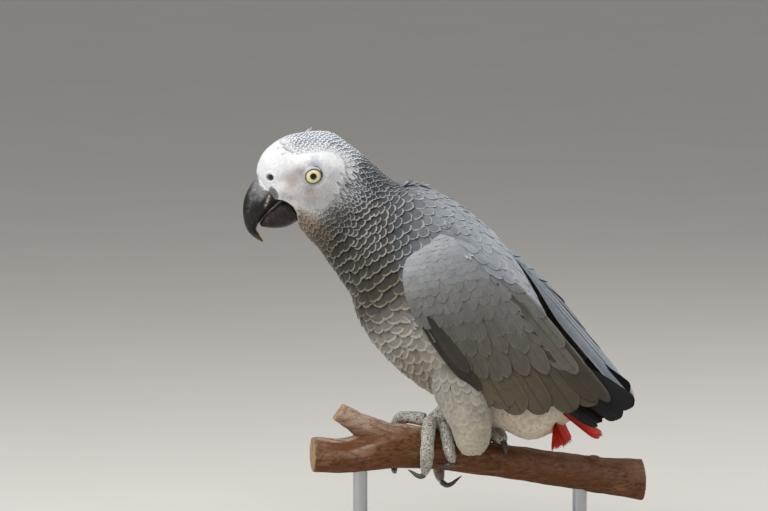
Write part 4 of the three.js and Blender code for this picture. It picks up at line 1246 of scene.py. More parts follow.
for word, side in SIDES.items():
    lesser = [wing_row(t - 0.115, t, 4.6, shift=0.5 * (i % 2)) for i, t in enumerate(LESSER_TIPS)]
    number = sum(len(r[0]) for r in lesser)
    covert_piece(
        word, "lesser_coverts", lesser, "covert_feathers", width=3.0, depth=0.45, rim=0.88, camber=0.08,
        thick=0.08, ragged=0.015, root=0.7, tip=0.40, swing=rng.normal(-0.1, 0.12, number), relief=0.12,
        lift=rng.normal(0.0, 0.03, number))
    median = [wing_row(t - 0.17, t, 6.4, q_to=1.0, shift=0.5 * (i % 2)) for i, t in enumerate(MEDIAN_TIPS)]
    number = sum(len(r[0]) for r in median)
    covert_piece(
        word, "median_coverts", median, "covert_feathers", width=4.0, depth=0.7, rim=0.9, camber=0.12,
        roll=0.14, thick=0.1, ragged=0.02, root=0.7, tip=0.26, shaft=0.22, cells=(6, 12), relief=0.3,
        swing=rng.normal(-0.16, 0.07, number), bend=rng.normal(0, 0.05, number))
    greater = [wing_row(0.62, 0.868, 8.2, 0.0, 1.0)]
    covert_piece(
        word, "greater_coverts", greater, "covert_feathers", width=5.3, depth=1.4, rim=0.9, camber=0.4,
        roll=0.3, thick=0.2, ragged=0.01, root=0.6, tip=0.3, shaft=0.3, cells=(8, 22), lift=0.05,
        relief=0.6)
    secondary = [wing_row(0.62, 0.985, 9.6, 0.05, 0.93), wing_row(0.66, 0.965, 10.5, 0.08, 0.95, 0.4)]
    sunk = np.concatenate([np.full(len(secondary[0][0]), -0.5), np.full(len(secondary[1][0]), -1.9)])
    covert_piece(
        word, "secondaries", secondary, "flight_feathers", (f"wing_{word}_secondaries",), width=7.8,
        depth=2.4, lift=sunk, rim=0.93, camber=0.5, roll=0.4, thick=0.35, ragged=0.006, root=0.7, tip=0.12,
        shaft=0.5, cells=(8, 26))
    outer_q = np.array([0.05, 0.10, 0.14])
    alula = [(np.array([0.60, 0.58, 0.55]), outer_q, np.array([0.94, 0.965, 0.87]))]
    tones = [np.array([linear(c) for c in names]) for names in ALULA_TONES]
    covert_piece(
        word, "alula_feathers", alula, "dark_feathers", (f"wing_{word}_alula",), width=3.7, depth=0.6,
        lift=np.array([0.6, 1.0, 1.4]), middle=tones[0], edge=tones[1], rim=0.86, camber=0.4, thick=0.4,
        ragged=0.002, root=0.85, tip=0.3, shaft=0.5, cells=(8, 24), roll=-0.1, swing=0.0)

# %% [markdown]
# ## Scapulars and tertials
#
# Between back and wing lies a band of long scapular feathers, and along the wing's back edge run the
# tertials, long quills with a dark shaft. They lie on top of the wing, so they are laid on the same wing
# surface with a little lift.

# %% Scapulars and tertials
SCAPULARS = np.array([  # share along the wing of root and tip, share across, half width, lift
    [0.16, 0.47, 0.94, 3.2, 0.9], [0.05, 0.36, 0.955, 3.0, 1.2], [0.20, 0.53, 0.985, 3.2, 1.4],
    [0.00, 0.27, 0.97, 2.8, 1.4], [0.10, 0.43, 0.99, 3.0, 1.7],
])
TERTIALS = np.array([
    [0.60, 0.975, 0.84, 5.6, 0.0], [0.56, 0.96, 0.93, 5.0, 0.2], [0.50, 0.885, 0.87, 5.2, 0.5],
    [0.45, 0.80, 0.92, 4.8, 0.7], [0.38, 0.71, 0.95, 4.4, 0.9], [0.30, 0.61, 0.98, 4.2, 1.0],
])
# The left tertials have the wing's own browns and greys. The right ones are painted pale blue-grey, as light
# from the sky on their upturned faces.
TERTIAL_TONES_AND_PAINTED_LIGHT = {
    "left": ("#4a4235", "#463e32", "#6b665e", "#716d67", "#777571", "#808285"),
    "right": ("#878d94", "#8b9198", "#8d9399", "#8f959b", "#939aa1", "#959ca3"),
}
for word, side in SIDES.items():
    p0, p1, q, width, lift = SCAPULARS.T
    middle = linear("#98a0a8") * rng.uniform(0.92, 1.08, (len(q), 1))
    covert_piece(
        word, "scapulars", [(p0, q, p1)], "covert_feathers", width=width, depth=0.4, lift=lift, rim=0.84,
        camber=0.5, thick=0.25, ragged=0.012, root=0.5, tip=0.14, shaft=0.15, cells=(6, 22), relief=0.7,
        middle=middle, edge=middle * 1.3, swing=0.0)
    p0, p1, q, width, lift = TERTIALS.T
    middle = np.array([linear(tone) for tone in TERTIAL_TONES_AND_PAINTED_LIGHT[word]])
    covert_piece(
        word, "tertials", [(p0, q, p1)], "flight_feathers", width=width, depth=0.3, lift=lift, rim=0.9,
        camber=0.5, thick=0.3, ragged=0.004, root=0.6, tip=0.22, shaft=0.5, cells=(8, 26), middle=middle,
        edge=middle * 1.3, swing=0.0)

# %% [markdown]
# ## Loose feathers
#
# No coat is perfect. Two small feathers stick up from the crown, a ruffled bunch stands on the shoulders,
# pale down peeps out of the left wing, and fluff escapes in front of it. They are the same vanes with more
# lift and curl.

# %% Feathers that stand out
LOOSE = {  # surface, slot, rows of root a, root b, turn; then length, half width, lift, curl and colours
    "stray": [
        BODY_LAY, "head_feathers", [(5.9, 0.12, 0.1), (5.8, 0.16, 0.3)],
        3.6, 0.8, 1.2, 1.0, ("#d9dde3", "#f7f9fc")],
    "ruffled": [
        BODY_LAY, "neck_feathers",
        [(10.9, 0.14, 0.1), (11.1, 0.3, -0.1), (11.3, 0.2, 0.15), (11.5, 0.05, 0.0), (11.5, -0.15, -0.2),
         (11.8, 0.22, 0.1), (11.0, -0.05, 0.0), (11.1, -0.22, 0.1), (12.0, 0.06, 0.0)],
        7.0, 3.0, 1.4, 0.5, ("#6d747b", "#a4acb3")],
    "fluff": [
        BODY_LAY, "body_feathers",
        [(14.1, -1.98, 0.3), (14.2, -1.9, 0.1), (14.35, -1.94, 0.2), (14.4, -2.0, 0.4)],
        6.5, 1.0, 0.5, 0.2, ("#9b9c9d", "#c2c4c6")],
    "white_down": [
        WING_LAYS["left"], "covert_feathers", [(0.22, 0.84, -0.2), (0.23, 0.87, 0.1), (0.245, 0.85, -0.1)],
        5.0, 0.8, 0.5, 0.1, ("#aab1b9", "#d0d6dd")],
}
for word, (lay, slot, places, length, width, lift, curl, tones) in LOOSE.items():
    a, b, swing = np.array(places).T
    number = len(a)
    feathers(
        f"{word}_feathers", lay, a, b, slot, soft_vane, length=length * rng.uniform(0.85, 1.1, number),
        width=width, depth=0.4, lift=lift * rng.uniform(0.7, 1.1, number), curl=curl, swing=swing,
        middle=linear(tones[0]), edge=linear(tones[1]), rim=0.6, ragged=0.05, thick=0.1, camber=0.3,
        root=0.4, tip=0.5, cells=(6, 10), relief=0.5,
        patch_at=np.column_stack([0.1 + 0.8 * np.arange(number) / number, 0.5 + 0 * a]))

# %% [markdown]
# ## Blades: primaries, tail and red coverts
#
# The wing's black tips and the red tail are stiff feathers that stand free of the body. Each fan has a plane
# of its own, given by a root, a tip and the way it faces, and its feathers are laid on that plane.

# %% Fans of stiff feathers
BLADES = {
    "primaries": [(56, 10, 106), (85.6, 5.6, 84.8), (5.4, 6.0), (0.1, 1, 0.1), 0.3],
    "inner_primaries": [(50, 12, 89.5), (70, 8.4, 77.4), (2.9, 2.9), (0.1, 1, 0.1), 0.0],
    "far_quills": [(22.9, 11, 163.8), (84.4, 6.6, 95.8), (3.0, 2.8), (0.3, -0.55, 0.78), 0.0],
    "tail": [(46, 0, 87.5), (70.6, 0, 70.2), (7.5, 9.5), (0.59, 0, 0.81), 0.0],
    "tuft": [(45.6, 0, 79), (48.6, 0, 62.0), (10, 8), (1, 0, 0.2), 0.0],
}  # root, tip, half widths at root and tip, the way it faces, and its share of the right wing's ride


def blade_lay(blade, side, camber):
    """A fan's own surface, and its length.

    On it, a goes from 0 at the root to 1 at the tip, and b in mm across. It bends back by
    camber * (b / half width)^2.
    """
    root, tip, halves, face, ride = blade
    flip = np.array([1, side, 1])
    moved = RIDE_WAY * (RIGHT_WING_RIDE * ride if side > 0 else 0.0)
    start, end = (np.array(x, float) * flip + moved for x in (root, tip))
    run = end - start
    way = run / np.linalg.norm(run)
    face = np.array(face, float) * flip
    out = face - way * (face @ way)
    out /= np.linalg.norm(out)
    across = np.cross(way, out)
    half = max(halves)

    def point(a, b):
        a, b = np.asarray(a, float)[..., None], np.asarray(b, float)[..., None]
        return start + run * a + across * b - out * camber * (b / half) ** 2

    return Lay(point, -1.0 if np.cross(way, across) @ out < 0 else 1.0), float(np.linalg.norm(run))


def fan(
        name, blade, side, number, slot, tones, replaces=(), layers=(0.0,), camber=0.6, spreading=0.05,
        width=1.0, overhang=1.0, uneven=0.04, slant=0.0, **look):
    """Feathers side by side on a blade, in one or more layers, a little spread towards the tip.

    `slant` makes them longer on one side: length * (1 + slant * share), share being -1..1 across.
    """
    blade = BLADES[blade]
    root_half, tip_half = blade[2]
    lay, size = blade_lay(blade, side, camber)
    share = np.linspace(-1, 1, number)
    at, b, lift = [], [], []
    for i, level in enumerate(layers):
        at.append(np.full(number, -0.02 * i))
        b.append((share + (0.5 / number if i % 2 else 0)) * (root_half - 2.0))
        lift.append(np.full(number, level) + 0.12 * np.arange(number))
    a, b, lift = np.concatenate(at), np.concatenate(b), np.concatenate(lift)
    total = len(a)
    length = size * overhang * (1 - np.abs(rng.normal(0, uneven, total))) * (1 + slant * b / root_half)
    half_width = width * (tip_half * 2 / number * 0.75 + 1.0)
    patch = np.column_stack([0.1 + 0.8 * (b + 12) / 24, 0.1 + 0.1 * np.arange(total) / total])
    usual = {"thick": 0.35, "camber": 0.35, "rim": 0.95, "shaft": 0.4, "root": 0.7, "tip": 0.25}
    look = usual | {"ragged": 0.01, "cells": (6, 16)} | look
    return feathers(
        name, lay, a, b, slot, wing_vane, length=length, width=half_width, depth=0.0, lift=lift,
        swing=b / root_half * spreading, middle=linear(tones[0]), edge=linear(tones[1]),
        patch_at=patch, replaces=replaces, **look)


BLACK = ("#141316", "#25231f")
RED = ("#ee2a0c", "#ff5030")
for word, side in SIDES.items():
    fan(
        f"primaries_{word}", "primaries", side, 2, "black_feathers", BLACK,
        (f"wing_{word}_primaries",), layers=(-0.4, 0.5), tip=0.15, width=0.95, uneven=0.004, ragged=0.0,
        slant=0.04 * side, overhang=0.81 if side > 0 else 1.0)
    fan(
        f"inner_primaries_{word}", "inner_primaries", side, 2, "black_feathers", BLACK,
        (f"wing_{word}_inner_primaries",), layers=(-0.4, 0.4), tip=0.4, width=0.8, uneven=0.02, ragged=0.0)
# The far wing's quills are painted pale blue-grey, as light from the sky on their upturned faces.
fan(
    "far_quills", "far_quills", 1.0, 2, "covert_feathers", ("#9aa2ab", "#c6cdd5"), tip=0.2, spreading=0.0,
    camber=0.8, width=1.5, uneven=0.02, ragged=0.002, shaft=0.9, cells=(8, 24), rim=0.86, root=0.1,
    relief=0.5, slant=0.25)
fan(
    "tail_feathers", "tail", 1.0, 6, "red_feathers", RED, ("tail",), layers=(-1.0, 0.0, 0.8), width=1.15,
    spreading=0.06, camber=1.4, tip=0.2, shaft=0.1, ragged=0.002, uneven=0.02)
fan(
    "undertail_feathers", "tuft", 1.0, 9, "red_feathers", RED, ("undertail_tuft",),
    layers=(-5.6, -4.2, -2.8, -1.4, 0.0, 1.4, 2.8, 4.2), width=0.95, spreading=0.02, camber=0.5,
    uneven=0.13, ragged=0.03, shaft=0.0, tip=0.4, thick=0.25)

# %% [markdown]
# ## Downy thighs
#
# The thighs have long soft feathers, grey at the top and cream below, less tidy than the rest; the cream is
# partly their own pale colour and partly painted warm light reflected from below.
# They are laid on the thigh's own oval form, all running down to the foot.

# %% Thigh feathers
THIGH_ROWS = np.arange(0.0, 4.3, 0.36)  # stations of the rows down the thigh
THIGH_SPACING = 4.5  # mm between neighbours in a row
for word, side in SIDES.items():
    lay = Lay(lambda a, b, side=side: thigh(side, a, b), side)
    found = []
    for k, at in enumerate(THIGH_ROWS):
        _, _, _, long, wide = row(THIGH, at)
        number = int(2 * math.pi * math.sqrt((long**2 + wide**2) / 2) / THIGH_SPACING)
        turns = (np.arange(number) + 0.5 * (k % 2)) / number * 2 * math.pi + rng.normal(0, 0.03, number)
        found.append(np.column_stack([np.full(number, at) + rng.normal(0, 0.03, number), turns]))
    spots = np.concatenate(found)
    number = len(spots)
    # The cream lower down is partly the feathers' own pale colour and partly painted warm light reflected
    # from below.
    low = smooth(0.0, 3.0, spots[:, 0])
    upper = 1 - smooth(0.2, 1.9, spots[:, 0] + rng.normal(0, 0.25, number))
    middle = blend(np.tile(linear("#b3afa6"), (number, 1)), (low, "#bab09d"), (0.7 * upper, "#8a857d"))
    length = np.interp(spots[:, 0], [0, 2.5, 4.3], [13, 11, 6.5]) * rng.uniform(0.93, 1.07, number)
    patch = np.column_stack([0.04 + 0.9 * (spots[:, 1] % (2 * math.pi)) / 6.3, 0.05 + spots[:, 0] / 5.6])
    feathers(
        f"thigh_feathers_{word}", lay, spots[:, 0], spots[:, 1], "belly_feathers", soft_vane, length=length,
        width=rng.uniform(3.0, 3.8, number), depth=rng.uniform(0.6, 0.8, number),
        lift=rng.normal(0.05, 0.04, number), swing=rng.normal(0, 0.07, number),
        bend=rng.normal(0, 0.06, number), curl=rng.normal(-0.05, 0.08, number), middle=middle,
        edge=middle * 0.7 + 0.3 * linear("#d7d0c0"), rim=0.7, ragged=0.015, thick=0.08, camber=0.1,
        root=0.6, tip=0.5, cells=(6, 8), relief=0.35, patch_at=patch)

# %% [markdown]
# ## The branch
#
# The bird grips a short cut length of branch with a stub. Two lofts, the branch and the stub, are fused by a
# voxel remesh, which gives the soft fork that a real branch has. Then every point of its bark is moved in or
# out: long ridges that run with the wood, shallow dents, and a few knots.

# %% The branch's formula
PERCH_YAW = math.radians(22)
PERCH_OFFSET = 0.1
PERCH_HALF = 94  # the branch reaches this far to each side of the bird
BRANCH_RINGS, BRANCH_AROUND = 150, 60
BARK_VOXEL, FOOT_VOXEL = 0.62, 0.40
PERCH = np.array([
    [-94, 59.6, 9.8], [-74, 58.8, 9.8], [-56, 62.8, 12.6], [-42, 63.2, 12.4], [-24, 60.6, 11.2],
    [-4, 56.4, 10.0], [20, 52.0, 9.6], [48, 47.2, 9.8], [72, 43.0, 10.4], [94, 40.0, 11.6],
])  # distance along it, height of its middle and radius
STUB_FROM, STUB_TO, STUB_RADII = (-52, 66.5), (-79, 83.5), (10.2, 5.2)
PERCH_RUN = np.array([math.cos(PERCH_YAW), math.sin(PERCH_YAW), 0])
PERCH_NEAR = np.array([PERCH_RUN[1], -PERCH_RUN[0], 0])
# Distance along the branch, turn round it, reach and height of each knot.
KNOTS = [
    (66, 20, 3.4, 2.4), (40, -60, 2.4, 1.0), (-30, 70, 2.6, 1.1), (12, 130, 3.0, 1.3), (-86, 100, 3.0, 1.4),
]


def perch_at(along):
    """Middle and radius of the branch at distances along it."""
    along = np.asarray(along, float)
    i = np.clip(np.searchsorted(PERCH[:, 0], along, side="right"), 1, len(PERCH) - 1)
    share = (along - PERCH[i - 1, 0]) / (PERCH[i, 0] - PERCH[i - 1, 0])
    _, z, radius = np.moveaxis(row(PERCH, np.clip(i - 1 + share, 0, len(PERCH) - 1)), -1, 0)
    centre = along[..., None] * PERCH_RUN + np.stack([0 * z, 0 * z + PERCH_OFFSET, z], -1)
    return centre, radius


def over_perch(along, turn, height):
    """A point `height` over the bark: `along` the branch, and turned over its top to the bird's left."""
    centre, radius = perch_at(along)
    turn = np.radians(turn)
    reach = radius + height
    up, near = reach * np.cos(turn), reach * np.sin(turn)
    return centre + up[..., None] * np.array([0, 0, 1.0]) + near[..., None] * PERCH_NEAR


def tube_rings(path, radii, rings, around, flatten=1.0):
    """Rings of a round tube along a smooth curve through points, each square to the curve.

    A side direction is carried along the curve and made square again at each ring, so the tube never twists.
    """
    path, radii = np.asarray(path, float), np.asarray(radii, float)
    fine = row(path, np.linspace(0, len(path) - 1, 200))
    walked = np.concatenate([[0], np.cumsum(np.linalg.norm(np.diff(fine, axis=0), axis=1))])
    share = np.linspace(0, 1, rings)
    middle = np.stack([np.interp(share * walked[-1], walked, fine[:, c]) for c in range(3)], -1)
    radius = np.interp(share * (len(radii) - 1), np.arange(len(radii)), radii)
    way = np.gradient(middle, axis=0)
    way /= np.linalg.norm(way, axis=1, keepdims=True)
    side = np.cross(way[0], [0.3, 0.2, 1.0])
    sides = []
    for w in way:
        side = side - w * (side @ w)
        side /= np.linalg.norm(side)
        sides.append(side)
    sides = np.array(sides)
    third = np.cross(way, sides)
    angle = np.arange(around) / around * 2 * math.pi
    round_ = sides[:, None] * np.cos(angle)[:, None] + third[:, None] * np.sin(angle)[:, None] * flatten
    return middle[:, None] + round_ * radius[:, None, None]


def fused(name, shells, voxel, slot, finish, replaces, smoothing=4):
    """Closed shells melted into one surface by a voxel remesh, then smoothed a little."""
    piece = mesh_piece(name, *gathered(shells), slot, finish, replaces)
    melt = piece.modifiers.new("melt", "REMESH")
    melt.mode = "VOXEL"
    melt.voxel_size = voxel * MM
    even = piece.modifiers.new("even", "SMOOTH")
    even.factor = 0.5
    even.iterations = smoothing
    applied(piece)
    print(f"{name}, melted: {len(piece.data.polygons)} faces")
    return piece


def move_points(piece, place):
    """Puts a piece's corner points at new places, in mm."""
    piece.data.vertices.foreach_set("co", (place * MM).astype(np.float32).ravel())
    piece.data.update()


# %% Bark and wood
f = Recipe("bark_finish", Specular_IOR_Level=0.35)
along_wood = f.stretched((0.16, 1, 1), -PERCH_YAW)
stripe = f.noise(1.6, 6, along_wood, 0.65)
patches = f.range(f.noise(14, 5), 0.42, 0.62)
flakes = f.range(f.noise(4.5, 6, along_wood, 0.7), 0.52, 0.60)
colour = f.mix(f.range(stripe, 0.3, 0.7), grey("#48280f"), grey("#7b4b26"))
colour = f.mix(patches, colour, grey("#653a1b"))
worn = f.read("worn")
colour = f.mix(f.times(worn, f.range(stripe, 0.25, 0.6)), colour, grey("#b39a88"))
colour = f.mix(f.times(flakes, 0.4), colour, grey("#9a7554"))
ring_wave = f.math("SINE", f.times(f.read("ring"), 5.2))
wood = f.mix(f.range(ring_wave, -1, 1), grey("#a78560"), grey("#c9ab84"))
wood = f.mix(f.range(f.noise(2.0), 0.35, 0.7, 0.0, 0.5), wood, grey("#7a5c40"))
colour = f.mix(f.read("cut"), colour, wood)
f.bump(f.plus(stripe, flakes), 0.7, 0.7)
bark_look = f.done(colour, f.range(f.noise(3), 0.3, 0.7, 0.62, 0.85))

lengthwise = np.linspace(-PERCH_HALF, PERCH_HALF, BRANCH_RINGS)
angle = np.linspace(0, 360, BRANCH_AROUND + 1)[:-1]
branch_rings = over_perch(*np.meshgrid(lengthwise, angle, indexing="ij"), 0.0)
stub_path = [PERCH_RUN * a + np.array([0, 0, z]) for a, z in (STUB_FROM, STUB_TO)]
stub_path.insert(1, (stub_path[0] + stub_path[1]) / 2)
stub_rings = tube_rings(stub_path, [STUB_RADII[0], 8.0, STUB_RADII[1] + 0.6, STUB_RADII[1]], 40, 40)
branch = fused("branch", [branch_rings, stub_rings], BARK_VOXEL, "bark", bark_look, ("perch",))
place, normal = points_of(branch)
along = place @ PERCH_RUN
off = place - perch_at(np.clip(along, -PERCH_HALF, PERCH_HALF))[0]
grain = np.column_stack([along * 0.12, off @ PERCH_NEAR, off[:, 2]])
from_stub = np.linalg.norm(place - stub_path[-1], axis=1)
stub_end = bell(from_stub, 7.0)
end_face = (np.abs(along) > PERCH_HALF - 0.8) & (np.abs(normal @ PERCH_RUN) > 0.6)
stub_way = (stub_path[-1] - stub_path[0]) / np.linalg.norm(stub_path[-1] - stub_path[0])
stub_face = (from_stub < 6.5) & (normal @ stub_way > 0.72)
cut = (end_face | stub_face).astype(float)
height = 0.34 * noise(grain, 1.5, 3, 3) + 0.5 * noise(place, 9, 4, 2) - 0.3 * np.abs(noise(grain, 3.2, 8, 2))
for knot_along, knot_turn, reach, rise in KNOTS:
    spot = over_perch(np.array([float(knot_along)]), np.array([float(knot_turn)]), 0.0)[0]
    away = np.linalg.norm(place - spot, axis=1)
    height += rise * bell(away, reach) - 0.7 * rise * bell(away, 0.4 * reach)
    height += 0.18 * np.sin(away * 2.6) * bell(away, 2.2 * reach)
height += stub_end * (2.2 * noise(place, 4.6, 6, 3) + 0.2)
move_points(branch, place + normal * (height * (1 - 0.75 * end_face))[:, None])
paint(branch, "cut", np.clip(cut + 0.9 * stub_end * (noise(place, 2, 2) > -0.1), 0, 1))
on_top = smooth(-0.5, 0.7, normal[:, 2]) * smooth(-0.35, 0.4, noise(grain, 6, 12, 3))
on_stub = 0.8 * smooth(69, 77, place[:, 2])
paint(branch, "worn", on_top * (0.3 + 0.8 * smooth(10, -50, along)) + on_stub)
paint(branch, "ring", np.where(stub_face, from_stub, np.linalg.norm(off, axis=1)))

# %% [markdown]
# ## Feet
#
# Parrot feet have two toes forward and two back, covered with small round scales like pebbles. Each toe is a
# tube over the bark; the tubes, the sole and the shank are fused into one form. The scales come from seeds
# scattered in space: a point belongs to its nearest seed, and the less it prefers that one over the next
# nearest, the deeper it lies in the groove between two scales.

# %% Toes and claws
FOOT_GAP = 0.35
FEET = {
    "left": {
        "along": -24, "roll": 0, "ankle": (-13, -14, 88),
        "toes": {
            "inner_front": (4.1, [[14, -4], [70, -7.6], [142, -8.4]], (-9, 6), 1.6),
            "outer_front": (3.6, [[20, 4], [68, 4.4], [108, 7]], (-9, 12), 0),
            "inner_back": (3.7, [[-4, -6], [-34, -19], [-146, -22]], (-1, -28), 0),
            "outer_back": (3.7, [[-24, 3], [-100, 4], [-174, 3.4]], (11, -16), 3.4),
        },
    },
    "right": {
        "along": 6, "roll": -42, "ankle": (4, 13, 85),
        "toes": {
            "inner_front": (3.8, [[16, -4], [44, -8], [72, -10]], (-1, 34), 0),
            "outer_front": (4.0, [[18, 4], [48, 6], [76, 7]], (1, 36), 0),
            "inner_back": (3.6, [[-20, -5], [-44, -10], [-70, -12]], (-2, -24), 0),
            "outer_back": (3.6, [[-20, 5], [-44, 8], [-72, 9]], (2, -24), 0),
        },
    },
}  # toes: radius, route as turn over the branch and shift along it, the claw's own shift and turn, lift
CLAW_ROOT, CLAW_ARCH = 2.1, 0.33
SHANK_RINGS, TOE_RINGS, TOE_AROUND = 24, 60, 28
CLAW_RINGS, CLAW_AROUND = 30, 20
SCALE_SIZE = 1.25  # mm from one scale to the next
GROOVE_REACH, GROOVE_DEEP = 0.22, 0.24


def toe_line(foot, radius, route, lift):
    """Middle line of a toe over the bark, lowered a little and lifted by lift * share^2 towards its tip."""
    i = np.arange(7)
    turn, shift = row(route, i / 3).T
    height = FOOT_GAP + radius * (1.02 - 0.02 * i) + lift * (i / 6) ** 2
    return over_perch(foot["along"] + shift, foot["roll"] + turn, height)


def claw_line(foot, radius, route, claw, lift):
    """Middle line of a claw, arched by arch * length * sin(pi t) * (1 - t) over a straight way."""
    turn, shift = route[-1]
    reach = perch_at(np.array(float(foot["along"])))[1] + radius
    length = math.hypot(claw[0], math.radians(claw[1]) * reach)
    t = np.linspace(0, 1, 5)
    arch = CLAW_ARCH * length * np.sin(math.pi * t) * (1 - t)
    height = FOOT_GAP + radius * (0.9 - 0.5 * t) + arch + lift * (1 - t * t)
    return over_perch(foot["along"] + shift + claw[0] * t, foot["roll"] + turn + claw[1] * t, height)


def nearest_seeds(points, size, seed=0):
    """Distances to the nearest and the second nearest of seeds scattered one to a cell of a lattice."""
    p = points / size + 31.7 * (seed + 1)
    cell = np.floor(p).astype(np.int64)
    first = np.full(len(p), 9.0)
    second = np.full(len(p), 9.0)
    for step in np.ndindex(3, 3, 3):
        at = cell + np.array(step) - 1
        mixed = at * PRIMES
        spot = mixed[:, 0] ^ mixed[:, 1] ^ mixed[:, 2]
        jitter = np.stack([HASH[(spot + 911 * k) & HASH_MASK] for k in range(3)], -1) * 0.42 + 0.5
        away = np.linalg.norm(at + jitter - p, axis=1)
        second = np.minimum(second, np.maximum(first, away))
        first = np.minimum(first, away)
    return first * size, second * size


f = Recipe("scale_skin", Specular_IOR_Level=0.4)
gap = f.read("gap")
plate = f.mix(f.range(f.noise(1.4, 4), 0.3, 0.7), grey("#b7b3a8"), grey("#dcd9d0"))
plate = f.mix(f.range(f.noise(7, 3), 0.4, 0.7, 0, 0.6), plate, grey("#a69e8f"))
colour = f.mix(gap, plate, grey("#2f2822"))
f.bump(f.noise(0.5, 4), 0.25, 0.15)
scale_look = f.done(colour, f.range(gap, 0, 1, 0.55, 0.85))

f = Recipe("claw_horn", Specular_IOR_Level=0.5, Coat_Weight=0.3, Coat_Roughness=0.2)
ridge = f.noise(0.9, 5)
colour = f.mix(f.read("tipward"), grey("#4a4440"), grey("#131211"))
colour = f.mix(f.range(ridge, 0.5, 0.72, 0, 0.45), colour, grey("#6f675f"))
f.bump(ridge, 0.25, 0.15)
claw_look = f.done(colour, f.range(ridge, 0.3, 0.7, 0.28, 0.5))

for word, foot in FEET.items():
    pad = over_perch(np.array(float(foot["along"])), foot["roll"], FOOT_GAP + 4.4)
    ankle = np.array(foot["ankle"], float)
    shells = [tube_rings([pad, (pad + ankle) / 2, ankle], [5.4, 4.3, 4.2], SHANK_RINGS, TOE_AROUND)]
    sole = [pad + [-4.5, 0, -0.3], pad, pad + [4.5, 0, -0.3]]
    shells.append(tube_rings(sole, [1.2, 4.4, 5.2, 4.4, 1.2], SHANK_RINGS, TOE_AROUND))
    claw_rings, tipward = [], []
    for radius, route, claw, lift in foot["toes"].values():
        swell = np.array([1.0, 0.98, 0.90, 0.98, 0.88, 0.86, 0.96, 0.86, 0.80, 0.62, 0.3]) * radius
        shells.append(tube_rings(toe_line(foot, radius, route, lift), swell, TOE_RINGS, TOE_AROUND))
        t = np.linspace(0, 1, 9)
        taper = CLAW_ROOT * np.maximum((1 - t) ** 0.62, 0.06) * (1 - 0.12 * (t < 0.06))
        rings = tube_rings(claw_line(foot, radius, route, claw, lift), taper, CLAW_RINGS, CLAW_AROUND, 0.82)
        claw_rings.append(rings)
        tipward.append(np.concatenate([np.repeat(np.linspace(0, 1, CLAW_RINGS), CLAW_AROUND), [0, 1]]))
    nodes = [f"foot_{word}", *(f"toe_{word}_{toe}" for toe in foot["toes"])]
    skin_of_foot = fused(f"foot_skin_{word}", shells, FOOT_VOXEL, "foot", scale_look, nodes, 3)
    place, normal = points_of(skin_of_foot)
    near, next_near = nearest_seeds(place, SCALE_SIZE, 2)
    raised = smooth(0.0, GROOVE_REACH, next_near - near)
    crease = 0.12 * noise(place, 2.6, 4, 2)
    move_points(skin_of_foot, place + normal * (GROOVE_DEEP * (raised - 0.5) + crease)[:, None])
    paint(skin_of_foot, "gap", 1 - raised)
    claws = mesh_piece(f"claws_{word}", *gathered(claw_rings), "claw", claw_look,
                       [f"claw_{word}_{toe}" for toe in foot["toes"]])
    paint(claws, "tipward", np.concatenate(tipward))

# %% [markdown]
# ## Bill
#
# The bill's halves are lofts over planar sections, like the body: each section has a ridge point, an edge
# point and a half width. The fine grid lets the surface carry what horn really has: growth lines across its
# length, a rounded lobe where the upper half's edge starts, and a raised rim along the cutting edge.

# %% Upper and lower bill
UPPER_BILL = np.array([
    [-120.0, 214.4, -108.0, 201.0, 9.2], [-124.7, 213.0, -110.2, 199.5, 9.0],
    [-128.6, 206.8, -114.1, 196.1, 7.8], [-131.4, 200.6, -117.4, 192.9, 6.9],
    [-132.3, 193.8, -120.6, 189.6, 5.9], [-131.7, 187.6, -123.6, 186.4, 4.5],
    [-129.8, 182.5, -124.9, 183.1, 3.1], [-126.6, 178.8, -123.4, 180.2, 1.7],
    [-121.4, 175.7, -121.0, 176.5, 0.4],
])  # ridge x and z, edge x and z, half width
LOWER_BILL = np.array([
    [-108.4, 201.2, -100.4, 188.8, 9.6], [-112.0, 200.2, -102.9, 187.1, 9.0],
    [-115.8, 196.8, -107.4, 184.7, 7.6], [-119.2, 193.4, -112.6, 183.7, 6.1],
    [-121.6, 189.8, -117.4, 183.8, 4.9], [-123.0, 186.2, -121.4, 184.4, 3.2],
])
# Where the white cere ends on the upper half: angle from the ridge, and section number.
CERE_EDGE = [
    (0, 0.80), (22, 0.84), (51, 1.28), (81, 1.37), (93, 1.18), (97, 0.69), (109, 0.56), (130, 0.5),
    (180, 0.3),
]


def bill_half(stations, s, angle, grow=0.0):
    """Point of a half of the bill, at section `s` and `angle` degrees from its ridge.

    out = reach * cos(angle) along the section's line, half * sin(angle) * (1 - 0.12 cos(angle)) to the side.
    """
    rx, rz, ex, ez, half = np.moveaxis(row(stations, s), -1, 0)
    reach = np.hypot(rx - ex, rz - ez) / 2
    ux, uz = (rx - ex) / 2 / reach, (rz - ez) / 2 / reach
    a = np.radians(angle)
    up = (reach + grow) * np.cos(a)
    wide = (half + grow) * np.sin(a) * (1 - 0.12 * np.cos(a))
    return turned(np.stack([(rx + ex) / 2 + ux * up, wide, (rz + ez) / 2 + uz * up], -1))


f = Recipe("bill_horn", Specular_IOR_Level=0.28)
tint = f.read("tint", "Color")
mottle = f.range(f.noise(2.2, 6), 0.35, 0.7)
dust = f.read("dust")
flake = f.range(f.noise(0.8, 5), 0.45, 0.7)
colour = f.mix(f.times(mottle, 0.14), tint, grey("#5b5854"))
colour = f.mix(f.times(dust, f.range(flake, 0, 1, 0.55, 1.0)), colour, grey("#c3c4c8"))
f.bump(f.plus(flake, mottle), 0.3, 0.12)
bill_look = f.done(colour, f.plus(f.times(dust, 0.3), 0.38))


